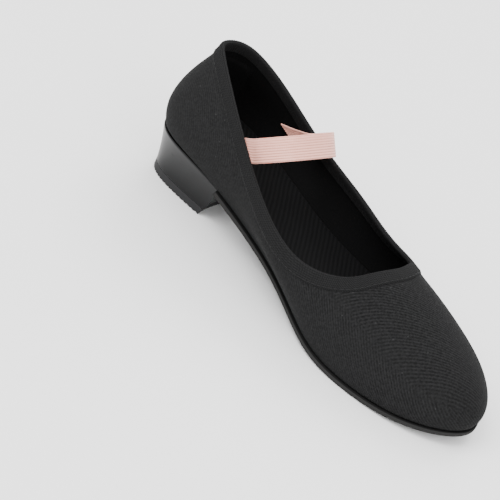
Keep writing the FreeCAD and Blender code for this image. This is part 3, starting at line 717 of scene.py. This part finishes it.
class ShoeSizes(bpy.types.PropertyGroup):
    twill_pitch: FloatProperty(
        name="Twill pitch", description="Distance between the canvas wales",
        default=0.0013, min=0.0004, unit="LENGTH", precision=4)
    binding_outside: FloatProperty(
        name="Binding outside", description="Height of the topline binding on the outside",
        default=0.0065, min=0.002, unit="LENGTH", precision=4)
    binding_inside: FloatProperty(
        name="Binding inside", description="Height of the topline binding on the inside",
        default=0.0055, min=0.002, unit="LENGTH", precision=4)
    binding_t: FloatProperty(
        name="Binding thickness", description="Thickness of the binding tape",
        default=0.00045, min=0.0001, unit="LENGTH", precision=5)
    rib_pitch: FloatProperty(
        name="Binding rib pitch", description="Distance between the ribs of the binding",
        default=0.00125, min=0.0005, unit="LENGTH", precision=5)
    rib_depth: FloatProperty(
        name="Binding rib depth", description="Height of the ribs of the binding",
        default=0.0002, min=0.0, unit="LENGTH", precision=5)
    stitch_length: FloatProperty(
        name="Stitch length", description="Length of one lockstitch with its gap",
        default=0.0028, min=0.001, unit="LENGTH", precision=4)
    thread_radius: FloatProperty(
        name="Thread radius", description="Radius of the sewing thread",
        default=0.0002, min=0.00005, unit="LENGTH", precision=5)
    strap_width: FloatProperty(
        name="Strap width", description="Width of the elastic strap",
        default=0.0135, min=0.004, unit="LENGTH", precision=4)
    strap_t: FloatProperty(
        name="Strap thickness", description="Thickness of the elastic strap",
        default=0.0011, min=0.0004, unit="LENGTH", precision=5)
    strap_ribs: IntProperty(
        name="Strap ribs", description="Lengthwise ribs of the elastic", default=9, min=1)
    strap_rib_depth: FloatProperty(
        name="Strap rib depth", description="Depth of the grooves between the strap's ribs",
        default=0.00028, min=0.0, unit="LENGTH", precision=5)


class ShoeColours(bpy.types.PropertyGroup):
    canvas: FloatVectorProperty(
        name="Canvas", description="Colour of the canvas upper", subtype="COLOR", size=3,
        default=(0.0088, 0.0088, 0.0090), min=0.0, max=1.0)
    lining: FloatVectorProperty(
        name="Lining", description="Colour of the lining", subtype="COLOR", size=3,
        default=(0.0030, 0.0030, 0.0031), min=0.0, max=1.0)
    binding: FloatVectorProperty(
        name="Binding", description="Colour of the topline binding", subtype="COLOR", size=3,
        default=(0.0080, 0.0080, 0.0082), min=0.0, max=1.0)
    elastic: FloatVectorProperty(
        name="Elastic", description="Colour of the strap's ribs", subtype="COLOR", size=3,
        default=(0.80, 0.42, 0.34), min=0.0, max=1.0)
    # painted shade: the darker colour laid into the grooves between the strap's ribs and between its
    # picks
    elastic_groove_shade: FloatVectorProperty(
        name="Elastic grooves", description="Colour between the strap's ribs", subtype="COLOR", size=3,
        default=(0.42, 0.14, 0.10), min=0.0, max=1.0)
    sock: FloatVectorProperty(
        name="Sock", description="Colour of the sock lining", subtype="COLOR", size=3,
        default=(0.0042, 0.0042, 0.0044), min=0.0, max=1.0)
    sole: FloatVectorProperty(
        name="Sole", description="Colour of the suede sole", subtype="COLOR", size=3,
        default=(0.0060, 0.0059, 0.0058), min=0.0, max=1.0)
    heel: FloatVectorProperty(
        name="Heel", description="Colour of the moulded heel", subtype="COLOR", size=3,
        default=(0.0020, 0.0020, 0.0022), min=0.0, max=1.0)
    rubber: FloatVectorProperty(
        name="Heel rubber", description="Colour of the heel's top piece", subtype="COLOR", size=3,
        default=(0.012, 0.012, 0.0125), min=0.0, max=1.0)
    floor: FloatVectorProperty(
        name="Floor", description="Colour of the studio floor", subtype="COLOR", size=3,
        default=(0.90, 0.90, 0.90), min=0.0, max=1.0)


class ShoePart:
    """Shared access to the shoe's sizes and colours."""

    bl_options = {"REGISTER"}

    @staticmethod
    def settings(context):
        return context.scene.shoe_sizes, context.scene.shoe_colours


def flexes(piece):
    """Writes the piece's placement into its mesh."""
    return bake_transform(piece)


class SHOE_OT_upper(ShoePart, bpy.types.Operator):
    """Canvas, lining and the stiffeners between them"""

    bl_idname = "shoe.upper"
    bl_label = "Upper"

    def execute(self, context):
        sizes, colours = self.settings(context)
        ts = np.linspace(0, LOOP, LOOP * 26 + 1)
        turned_in = np.linspace(-2.0, -1.0, 7)
        corner = np.linspace(-0.8, 0.0, 5)
        wall = np.linspace(0.03, 1.0, 46)
        rows = np.concatenate([turned_in, corner, wall])
        outer = layer_grid(ts, rows, lambda t, s: canvas_in(t, s) + CANVAS_T)
        inner = layer_grid(ts, rows, canvas_in)
        mesh = sheet_mesh("canvas_upper", outer, inner, closed=True)
        canvas = new_object("canvas_upper", mesh, canvas_paint(sizes, colours))
        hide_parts("vamp_canvas", "quarter_canvas_medial", "quarter_canvas_lateral")
        flexes(canvas)

        ts = np.linspace(0, LOOP, LOOP * 14 + 1)
        outer = layer_grid(ts, rows, lambda t, s: LINING_T + 0 * s)
        inner = layer_grid(ts, rows, lambda t, s: 0 * s)
        mesh = sheet_mesh("lining", outer, inner, closed=True)
        lining = new_object("lining", mesh, lining_paint(colours))
        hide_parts("vamp_lining", "quarter_lining")
        flexes(lining)

        stiff = fibre_paint("stiffener_sheet", (0.30, 0.27, 0.22), 900.0, 0.0002)
        inside = LINING_T + GLUE
        for name, node, middle, reach, top, thickness, least in (
                ("heel_stiffener", "heel_counter", LOOP, 3.0, 0.84, counter_thickness, 0.1),
                ("toe_stiffener", "toe_puff", TOE, 2.4, 0.5, puff_thickness, 0.06)):
            ts = np.linspace(middle - reach, middle + reach, 73)
            rows = np.linspace(0.04, top, 19)
            outer = layer_grid(ts, rows, lambda t, s: inside + np.maximum(thickness(t, s), least))
            inner = layer_grid(ts, rows, lambda t, s: inside + 0 * s)
            made = new_object(name, sheet_mesh(name, outer, inner), stiff)
            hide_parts(node)
            if node == "toe_puff":
                flexes(made)
            else:
                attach(made, "rear")

        ts = np.linspace(LOOP - 1.3, LOOP + 1.3, 61)
        rows = np.linspace(0.2, 0.8, 31)
        skive = np.minimum(1, np.minimum(1.3 - np.abs(ts - LOOP) + 0.02, 0.2)[:, None] / 0.2)
        skive = skive * np.minimum(1, (0.31 - np.abs(rows - 0.5)) / 0.05)[None, :]
        outer = layer_grid(ts, rows, lambda t, s: -GLUE + 0 * s)
        inner = layer_grid(ts, rows, lambda t, s: -GLUE - GRIP_T * np.maximum(skive, 0.25))
        patch = suede_paint("black_grip_suede", colours.lining, 2.5)
        mesh = sheet_mesh("heel_grip_patch", outer, inner)
        grip = new_object("heel_grip_patch", mesh, patch)
        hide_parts("heel_grip")
        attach(grip, "rear")
        return {"FINISHED"}


def topline_frame(t):
    """Edge point, outward normal and upward tangent at the topline."""
    edge = last_point(t, 1.0)
    return edge, last_normal(t, 1.0), unit(edge - last_point(t, 0.99))


FOLD_IN = -GLUE
FOLD_OUT = UPPER_T + GLUE
FOLD_LIFT = 0.35
CORD_R = 0.5
CORD_LIFT = 0.3


def even_stations(pitch, steps):
    """Stations evenly spaced along the topline, a whole number of pitches round it."""
    dense = np.linspace(0, LOOP, 3601)
    edge = TOPLINE(dense)
    edge[:, 2] += level(edge[:, 0])
    walked = lengths(edge)
    count = int(round(walked[-1] / pitch))
    places = np.linspace(0, walked[-1], count * steps + 1)
    return np.interp(places, walked, dense), count


def binding_rows(ts, thickness, outside, inside, rib):
    """Section of one face of the folded tape at each station, from outer to inner edge."""
    columns = []
    for share in np.linspace(0, 1, 10):
        s = 1 - (1 - drop_to(ts, outside)) * (1 - share)
        extra = canvas_in(ts, s) + CANVAS_T - UPPER_T
        rise = ramp(share, 0.0, 0.14) if thickness else 1.0
        columns.append(skin(ts, s, FOLD_OUT + extra + thickness * (0.55 + 0.45 * rise) + rib * rise))
    edge, normal, up = topline_frame(ts)
    centre = edge + normal * ((FOLD_OUT + FOLD_IN) / 2) + up * FOLD_LIFT
    radius = (FOLD_OUT - FOLD_IN) / 2 + thickness
    for turn in np.radians(np.arange(15, 180, 15)):
        arm = normal * math.cos(turn) + up * math.sin(turn)
        columns.append(centre + arm * (radius + rib)[:, None])
    for share in np.linspace(0, 1, 7):
        s = 1 - (1 - drop_to(ts, inside)) * share
        columns.append(skin(ts, s, FOLD_IN - thickness - rib))
    return np.stack(columns, 1)


class SHOE_OT_binding(ShoePart, bpy.types.Operator):
    """Ribbed tape round the opening, its stitches and the cord in its fold"""

    bl_idname = "shoe.binding"
    bl_label = "Topline binding"

    def execute(self, context):
        sizes, colours = self.settings(context)
        thickness = sizes.binding_t / MM
        outside, inside = sizes.binding_outside / MM, sizes.binding_inside / MM
        steps = 4
        ts, _ = even_stations(sizes.rib_pitch / MM, steps)
        turn = np.arange(len(ts)) * (2 * math.pi / steps)
        rib = (0.5 - 0.5 * np.cos(turn)) * sizes.rib_depth / MM
        outer = binding_rows(ts, thickness, outside, inside, rib)
        inner = binding_rows(ts, 0.0, outside, inside, 0 * rib)
        mesh = sheet_mesh("topline_tape", outer, inner, closed=True, measured_row=12)
        tape = new_object("topline_tape", mesh, binding_paint(colours), math.radians(80))
        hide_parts("topline_binding")
        flexes(tape)
        self.stitches(sizes, colours, thickness, outside)
        self.cord(colours)
        return {"FINISHED"}

    def stitches(self, sizes, colours, thickness, outside):
        """One row of lockstitches just above the tape's lower edge."""
        sections, sides = 7, 6
        ts, count = even_stations(sizes.stitch_length / MM, sections + 1)
        s = drop_to(ts, outside - 1.1)
        extra = canvas_in(ts, s) + CANVAS_T - UPPER_T
        base = FOLD_OUT + extra + thickness
        line = skin(ts, s, base)
        normal = last_normal(ts, s)
        along = unit(np.roll(line, -1, 0) - np.roll(line, 1, 0))
        across = np.cross(normal, along)
        radius = sizes.thread_radius / MM
        points, faces = [], []
        for k in range(count):
            first = k * (sections + 1)
            for i in range(sections):
                share = i / (sections - 1)
                here = first + i
                swell = math.sin(math.pi * (0.12 + 0.76 * share)) ** 0.5
                sink = radius * (1.9 * math.sin(math.pi * share) ** 0.6 - 0.9)
                for j in range(sides):
                    turn = 2 * math.pi * j / sides
                    arm = normal[here] * math.sin(turn) * 0.8 + across[here] * math.cos(turn) * 1.25
                    points.append(line[here] + normal[here] * sink + arm * radius * swell)
            base_index = k * sections * sides
            for i in range(sections - 1):
                for j in range(sides):
                    a = base_index + i * sides + j
                    b = base_index + i * sides + (j + 1) % sides
                    faces.append((a, b, b + sides, a + sides))
            faces.append([base_index + j for j in reversed(range(sides))])
            faces.append([base_index + (sections - 1) * sides + j for j in range(sides)])
        mesh = mesh_from("binding_stitches", points, faces)
        row = new_object("binding_stitches", mesh, thread_paint(colours))
        flexes(row)

    def cord(self, colours):
        """Round cord lying in the fold of the tape."""
        ts = np.linspace(0, LOOP, LOOP * 16 + 1)[:-1]
        edge, normal, up = topline_frame(ts)
        centre = edge + normal * ((FOLD_OUT + FOLD_IN) / 2) + up * (FOLD_LIFT + CORD_LIFT)
        sides = 10
        turns = 2 * math.pi * np.arange(sides) / sides
        rings = [centre + (normal * math.cos(a) + up * math.sin(a)) * CORD_R for a in turns]
        points = np.stack(rings, 1).reshape(-1, 3)
        faces = []
        for i in range(len(ts)):
            after = (i + 1) % len(ts)
            for j in range(sides):
                k = (j + 1) % sides
                faces.append((i * sides + j, after * sides + j, after * sides + k, i * sides + k))
        mesh = mesh_from("fold_cord", points, faces)
        cord = new_object("fold_cord", mesh, thread_paint(colours))
        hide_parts("topline_cord")
        flexes(cord)


class SHOE_OT_insole(ShoePart, bpy.types.Operator):
    """Twill sock, foam cushion and fibre board inside the shoe"""

    bl_idname = "shoe.insole"
    bl_label = "Insole"

    def execute(self, context):
        _, colours = self.settings(context)
        ts = np.linspace(0, LOOP, LOOP * 16 + 1)
        board_low = GLUE
        foam_low = board_low + BOARD_T + GLUE
        sock_low = foam_low + FOAM_T + GLUE
        for name, node, slot, outline, low, thick, radius, material in (
                ("twill_sock", "sock_lining", "sock", SOCK_MARGIN, sock_low, SOCK_T, 0.4,
                 sock_paint(colours)),
                ("foam_cushion", "insole_foam", "foam", 0.0, foam_low, FOAM_T, 0.6,
                 fibre_paint("open_cell_foam", (0.45, 0.43, 0.38), 1400.0, 0.0003)),
                ("fibre_board", "insole_board", "board", 0.0, board_low, BOARD_T, 0.2,
                 fibre_paint("pressed_fibre_board", (0.42, 0.30, 0.18), 500.0, 0.0002))):
            grid = plan_grid(ts, edge_profile(low, low + thick, radius), outline)
            piece = new_object(name, plan_mesh(name, grid, closed=True), material)
            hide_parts(node)
            flexes(piece)
        return {"FINISHED"}


class SHOE_OT_sole(ShoePart, bpy.types.Operator):
    """Suede outsole with rounded edges, and the felt filler above it"""

    bl_idname = "shoe.sole"
    bl_label = "Sole"

    def execute(self, context):
        _, colours = self.settings(context)
        rim = partial(feather, offset=SOLE_OUT)
        seat = float(lift(HEEL_BACK_BOTTOM, SOLE_TOP))
        lean = (BREAST_TOP - BREAST_BOTTOM) / (seat - TOP_PIECE_T)
        under = float(lift(-64.0, (SOLE_TOP + SOLE_BOTTOM) / 2))
        start = BREAST_BOTTOM + GLUE + lean * (under - TOP_PIECE_T)
        t0 = station_where(rim, start, 2.0, 5.0)
        t1 = station_where(rim, start, 13.5, 16.0)
        ts = np.linspace(t0, t1, 321)
        grid = plan_grid(ts, edge_profile(SOLE_BOTTOM, SOLE_TOP, 0.7), SOLE_OUT, start)
        near = np.clip(1 - (grid[..., 0] - start) / 25, 0, 1) ** 2
        hollow = BREAST_HOLLOW * np.clip(1 - (grid[..., 1] / HEEL_HALF_WIDTH) ** 2, 0, None)
        grid[..., 0] += near * (lean * (grid[..., 2] - under) - hollow)
        mesh = plan_mesh("suede_sole", grid, closed=False)
        suede = suede_paint("black_suede_sole", colours.sole, edge=4.0)
        sole = new_object("suede_sole", mesh, suede)
        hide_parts("outsole")
        flexes(sole)

        inner = partial(feather, offset=-FILLER_INSET)
        t0 = station_where(inner, FILLER_START, 3.5, 6.0)
        t1 = station_where(inner, FILLER_START, 12.5, 14.8)
        ts = np.linspace(t0, t1, 161)
        profile = edge_profile(SOLE_TOP + GLUE, SOLE_TOP + GLUE + FILLER_T, 0.3)
        grid = plan_grid(ts, profile, -FILLER_INSET, FILLER_START)
        mesh = plan_mesh("felt_filler", grid, closed=False)
        felt = fibre_paint("grey_felt", (0.35, 0.33, 0.30), 700.0, 0.0003)
        filler = new_object("felt_filler", mesh, felt)
        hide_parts("bottom_filler")
        flexes(filler)
        return {"FINISHED"}


STRAP_MEDIAL_X = -56.0
STRAP_LATERAL_X = -52.0
STRAP_LEAN = math.radians(48.0)
STRAP_RISE = 28.0
STRAP_BULGE = 4.5
STRAP_DEPTH = 14.0
STRAP_CLEARANCE = 0.6
STRAP_SWING_GAP = 2.4
PIVOT_DROP = 0.5
HELD_BELOW_PIVOT = 2.0
FREE_ABOVE_PIVOT = 5.0
SOLID_BINDING_T = 0.45
SOLID_STRAP_T = 1.1


def smooth_rows(rows, count):
    """Rows of points evenly spaced along smooth curves through the given rows."""
    middle = rows[:, rows.shape[1] // 2]
    walked = lengths(middle)
    places = np.linspace(0, walked[-1], count)
    slopes = np.gradient(rows, walked, axis=0)
    i = np.clip(np.searchsorted(walked, places) - 1, 0, len(walked) - 2)
    gap = (walked[i + 1] - walked[i])[:, None, None]
    f = ((places - walked[i])[:, None, None]) / gap
    r = 1 - f
    return (rows[i] * (1 + 2 * f) * r ** 2 + slopes[i] * gap * f * r ** 2
            + rows[i + 1] * (3 - 2 * f) * f ** 2 - slopes[i + 1] * gap * f ** 2 * r)


class SHOE_OT_strap(ShoePart, bpy.types.Operator):
    """Ribbed elastic over the instep, with both of its sewn ends"""

    bl_idname = "shoe.strap"
    bl_label = "Elastic strap"

    def sewn_end(self, t, inside, width):
        """Rows of the sewn end from its lower edge up, medial edge order by station."""
        spacing = float(np.linalg.norm(TOPLINE(t + 0.1) - TOPLINE(t - 0.1)) / 0.2)
        forward = 1.0 if TOPLINE(t + 0.1)[0] > TOPLINE(t - 0.1)[0] else -1.0
        slant = math.tan(STRAP_LEAN) * STRAP_DEPTH / spacing * forward
        low = float(drop_to(np.array([t]), STRAP_DEPTH)[0])
        across = np.linspace(-0.5, 0.5, 5) * width / spacing
        shares = np.linspace(0.0, 0.62, 6)
        tt = t + across[None, :] - slant * (1 - shares[:, None])
        ss = low + (1 - low) * shares[:, None] + 0 * tt
        return skin(tt, ss, inside + 0 * tt)

    def arch(self, medial, lateral, width):
        """Rows of the free arch from the medial side to the lateral side."""
        across = lateral - medial
        half_span = float(np.linalg.norm(across)) / 2
        side = unit(across)
        upright = np.array([math.sin(STRAP_LEAN), 0.0, math.cos(STRAP_LEAN)])
        upright = unit(upright - side * upright.dot(side))
        back = unit(np.cross(upright, side))
        turn = np.radians(np.linspace(4, 176, 41))[:, None]
        swell = np.sin(2 * turn) * np.sin(turn)
        reach = half_span * np.cos(turn) + STRAP_BULGE * swell
        line = (medial + lateral) / 2 - side * reach + upright * (STRAP_RISE * np.sin(turn))
        return line[:, None, :] + back * (np.linspace(-0.5, 0.5, 5) * width)[None, :, None]

    def execute(self, context):
        sizes, colours = self.settings(context)
        width, thick = sizes.strap_width / MM, sizes.strap_t / MM
        t_medial = station_where(TOPLINE, STRAP_MEDIAL_X, 2.0, 4.0)
        t_lateral = station_where(TOPLINE, STRAP_LATERAL_X, 14.0, 16.0)
        sewn = FOLD_IN - SOLID_BINDING_T - STRAP_CLEARANCE - SOLID_STRAP_T / 2
        root = sewn - SOLID_STRAP_T - STRAP_SWING_GAP
        pivots = []
        for t in (t_medial, t_lateral):
            edge, normal, _ = topline_frame(np.array([t]))
            pivots.append((edge + normal * root - UP * PIVOT_DROP)[0])
        medial = self.sewn_end(t_medial, sewn, width)[:, ::-1]
        lateral = self.sewn_end(t_lateral, sewn, width)[::-1]
        rows = np.concatenate([medial, self.arch(*pivots, width), lateral])
        ribs, per_rib = sizes.strap_ribs, 8
        line = smooth_rows(rows, 420)
        places = np.linspace(0, 4, ribs * per_rib + 1)
        whole = np.clip(np.floor(places).astype(int), 0, 3)
        part = (places - whole)[None, :, None]
        grid = line[:, whole] * (1 - part) + line[:, whole + 1] * part
        along = unit(np.gradient(grid, axis=0))
        across = unit(np.gradient(grid, axis=1))
        normal = unit(np.cross(across, along))
        share = np.linspace(0, 1, len(line))[:, None]
        count = np.arange(ribs * per_rib + 1)[None, :] / per_rib
        near_root = np.exp(-((share - 0.235) / 0.035) ** 2) + np.exp(-((share - 0.765) / 0.035) ** 2)
        drift = 0.3 * np.sin(share * 61 + count * 1.7) + 0.25 * np.sin(share * 137 + count * 3.1)
        groove = (0.5 + 0.5 * np.cos(2 * math.pi * count)) ** 2
        depth = sizes.strap_rib_depth / MM * (1 + 0.9 * near_root + 0.3 * drift)
        edge_round = np.clip(1 - (np.minimum(count, ribs - count) / 0.3), 0, 1) ** 2 * 0.25
        outer = grid + normal * (thick / 2 - groove * depth - edge_round)[..., None]
        inner = grid - normal * (thick / 2 - groove * depth * 0.6 - edge_round)[..., None]
        middle = ribs * per_rib // 2
        mesh = sheet_mesh("elastic_band", outer[:, ::-1], inner[:, ::-1], measured_row=middle)
        elastic = elastic_paint(sizes, colours)
        strap = new_object("elastic_band", mesh, elastic, math.radians(70))
        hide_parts("elastic_strap", "strap_end_medial", "strap_end_lateral")
        axis = unit(pivots[1] - pivots[0])
        centre = (pivots[0] + pivots[1]) / 2
        upward = unit(UP - axis * axis.dot(UP))
        held = tuple((centre - upward * HELD_BELOW_PIVOT) * MM)
        free = tuple((centre + upward * FREE_ABOVE_PIVOT) * MM)
        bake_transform(strap)
        return {"FINISHED"}


class SHOE_OT_heel(ShoePart, bpy.types.Operator):
    """Glossy moulded heel, its rubber top piece and the hidden fixings"""

    bl_idname = "shoe.heel"
    bl_label = "Heel"

    def section(self, ts, z, seat):
        """Heel outline at height z: round the back, then across the hollow breast."""
        rim = feather(ts, HEEL_OUT)
        back, half = rim[:, 0].min(), np.abs(rim[:, 1]).max()
        rise = np.clip((z - TOP_PIECE_T) / (seat - TOP_PIECE_T), 0, 1.2)
        share = (rim[:, 0] - back) / (BREAST_TOP - back)
        foot_x = HEEL_BACK_BOTTOM + share * (BREAST_BOTTOM - HEEL_BACK_BOTTOM)
        foot_y = rim[:, 1] / half * HEEL_HALF_WIDTH
        x = foot_x + (rim[:, 0] - foot_x) * rise
        y = foot_y + (rim[:, 1] - foot_y) * rise ** HEEL_FLARE
        share = np.linspace(0, 1, 34)[1:-1]
        breast_y = y[-1] + (y[0] - y[-1]) * share
        breast_x = x[-1] + (x[0] - x[-1]) * share
        hollow = np.clip(1 - (breast_y / HEEL_HALF_WIDTH) ** 2, 0, None)
        breast_x = breast_x - BREAST_HOLLOW * hollow
        return np.stack([np.concatenate([x, breast_x]), np.concatenate([y, breast_y])], -1)

    def execute(self, context):
        _, colours = self.settings(context)
        rim = partial(feather, offset=HEEL_OUT)
        t0 = station_where(rim, BREAST_TOP, 13.5, 16.0)
        t1 = station_where(rim, BREAST_TOP, 2.0, 5.0) + LOOP
        ts = np.linspace(t0, t1, 181)
        seat = float(lift(HEEL_BACK_BOTTOM, SOLE_TOP))
        heights = np.concatenate([[0, 0.006, 0.016], np.linspace(0.035, 0.955, 34), [0.975, 0.988, 1.0]])
        insets = np.interp(heights, [0, 0.006, 0.016, 0.04, 0.955, 0.975, 0.988, 1.0],
                           [0.35, 0.12, 0.0, 0.0, 0.0, 0.08, 0.22, 0.5])
        rows = []
        for share, inset in zip(heights, insets):
            z = TOP_PIECE_T + (seat - TOP_PIECE_T) * share
            flat = self.section(ts, z, seat)
            top = lift(flat[:, 0], SOLE_TOP)
            z = TOP_PIECE_T + (top - TOP_PIECE_T) * share
            flat = np.stack([self.section(ts, level_z, seat)[k] for k, level_z in enumerate(z)])
            step = np.roll(flat, -1, 0) - np.roll(flat, 1, 0)
            out = unit(np.stack([step[:, 1], -step[:, 0]], -1))
            flat = flat - out * inset
            rows.append(np.column_stack([flat, z]))
        grid = np.stack(rows, 1)
        count, cols = grid.shape[:2]
        points = grid.reshape(-1, 3)
        faces = []
        for i in range(count):
            after = (i + 1) % count
            for j in range(cols - 1):
                faces.append((i * cols + j, after * cols + j, after * cols + j + 1, i * cols + j + 1))
        top, bottom = len(points), len(points) + 1
        centre_x = float(points[:, 0].mean())
        seat_middle = [centre_x, 0, float(lift(centre_x, SOLE_TOP))]
        foot_middle = [centre_x, 0, TOP_PIECE_T]
        points = np.vstack([points, seat_middle, foot_middle])
        for i in range(count):
            after = (i + 1) % count
            faces.append((i * cols + cols - 1, after * cols + cols - 1, top))
            faces.append((after * cols, i * cols, bottom))
        mesh = mesh_from("moulded_heel", points, faces)
        heel = new_object("moulded_heel", mesh, heel_paint(colours), math.radians(35))
        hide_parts("heel_block")
        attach(heel, "rear")

        rubber = rubber_paint(colours)
        spring = steel_paint("spring_steel", (0.42, 0.42, 0.44), 0.3)
        plain = steel_paint("plain_steel", (0.5, 0.5, 0.52), 0.25)
        for node, material in (("heel_top_piece", rubber), ("shank", spring), ("shank_rivets", spring),
                               ("top_piece_pins", plain), ("heel_nails", plain), ("heel_screw", plain)):
            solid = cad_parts[node]
            for held in solid.material_slots:
                held.material = material
        return {"FINISHED"}


CAMERA_PLACE = (0.4758, -0.9279, 0.7220)
CAMERA_AIM = (-0.01004, -0.05838, 0.040)
CAMERA_ROLL = math.radians(26.42)
CAMERA_LENS = 168.06
SENSOR = 36.0


class SHOE_OT_stage(ShoePart, bpy.types.Operator):
    """Pale studio floor, soft lights and the camera"""

    bl_idname = "shoe.stage"
    bl_label = "Studio"

    def execute(self, context):
        _, colours = self.settings(context)
        scene = context.scene
        self.floor(colours)
        for name, place, energy, size in (
                ("key_light", (-0.5, -0.9, 1.5), 34.0, 1.2),
                ("fill_light", (1.1, -0.6, 0.9), 12.0, 1.2),
                ("back_light", (-0.4, 1.2, 1.1), 16.0, 1.0)):
            data = bpy.data.lights.new(name, "AREA")
            data.energy, data.size = energy, size
            lamp = bpy.data.objects.new(name, data)
            lamp.location = place
            aim = Vector((0.0, 0.0, 0.03)) - Vector(place)
            lamp.rotation_euler = aim.to_track_quat("-Z", "Y").to_euler()
            scene.collection.objects.link(lamp)
        world = bpy.data.worlds.new("studio")
        world.use_nodes = True
        background = world.node_tree.nodes["Background"]
        background.inputs["Color"].default_value = (1.0, 1.0, 1.0, 1.0)
        background.inputs["Strength"].default_value = 1.7
        scene.world = world
        self.camera(scene)
        return {"FINISHED"}

    def floor(self, colours):
        base = tuple(colours.floor)
        paint = Paint("pale_floor", base, 0.6, **{"Specular IOR Level": 0.3})
        cloud = paint.noise(3.0, 2.0)
        paint.set({"Base Color": paint.mix(cloud, shade(base, 0.99), base)})
        half, below = 4.0, -0.0002
        corners = [(-half, -half, below), (half, -half, below), (half, half, below), (-half, half, below)]
        mesh = bpy.data.meshes.new("studio_floor")
        mesh.from_pydata(corners, [], [(0, 1, 2, 3)])
        mesh.materials.append(paint.material)
        made = bpy.data.objects.new("studio_floor", mesh)
        bpy.context.scene.collection.objects.link(made)

    def camera(self, scene):
        data = bpy.data.cameras.new("camera")
        data.lens, data.sensor_width = CAMERA_LENS, SENSOR
        data.clip_start, data.clip_end = 0.05, 20.0
        camera = bpy.data.objects.new("camera", data)
        scene.collection.objects.link(camera)
        place, aim = Vector(CAMERA_PLACE), Vector(CAMERA_AIM)
        back = (place - aim).normalized()
        right = Vector((0, 0, 1)).cross(back).normalized()
        up = back.cross(right)
        x = right * math.cos(CAMERA_ROLL) + up * math.sin(CAMERA_ROLL)
        y = back.cross(x)
        turned = Matrix((x, y, back)).transposed().to_4x4()
        camera.matrix_world = Matrix.Translation(place) @ turned
        scene.camera = camera


class SHOE_PT_panel(bpy.types.Panel):
    """Lists the shoe's pieces, sizes and colours"""

    bl_idname = "SHOE_PT_panel"
    bl_label = "Dance shoe"
    bl_space_type = "VIEW_3D"
    bl_region_type = "UI"
    bl_category = "Dance shoe"

    def draw(self, context):
        layout = self.layout
        for operator in PARTS:
            layout.operator(operator.bl_idname)
        for group in (context.scene.shoe_sizes, context.scene.shoe_colours):
            box = layout.box()
            for name in group.__annotations__:
                box.prop(group, name)


PARTS = (SHOE_OT_upper, SHOE_OT_binding, SHOE_OT_insole, SHOE_OT_sole, SHOE_OT_strap, SHOE_OT_heel,
         SHOE_OT_stage)
CLASSES = (ShoeSizes, ShoeColours, *PARTS, SHOE_PT_panel)


def register():
    for made in CLASSES:
        bpy.utils.register_class(made)
    bpy.types.Scene.shoe_sizes = PointerProperty(type=ShoeSizes)
    bpy.types.Scene.shoe_colours = PointerProperty(type=ShoeColours)


def unregister():
    del bpy.types.Scene.shoe_sizes
    del bpy.types.Scene.shoe_colours
    for made in reversed(CLASSES):
        bpy.utils.unregister_class(made)


def main():
    register()
    bpy.ops.shoe.upper()
    bpy.ops.shoe.binding()
    bpy.ops.shoe.insole()
    bpy.ops.shoe.sole()
    bpy.ops.shoe.strap()
    bpy.ops.shoe.heel()
    bpy.ops.shoe.stage()


if __name__ == "__main__":
    main()
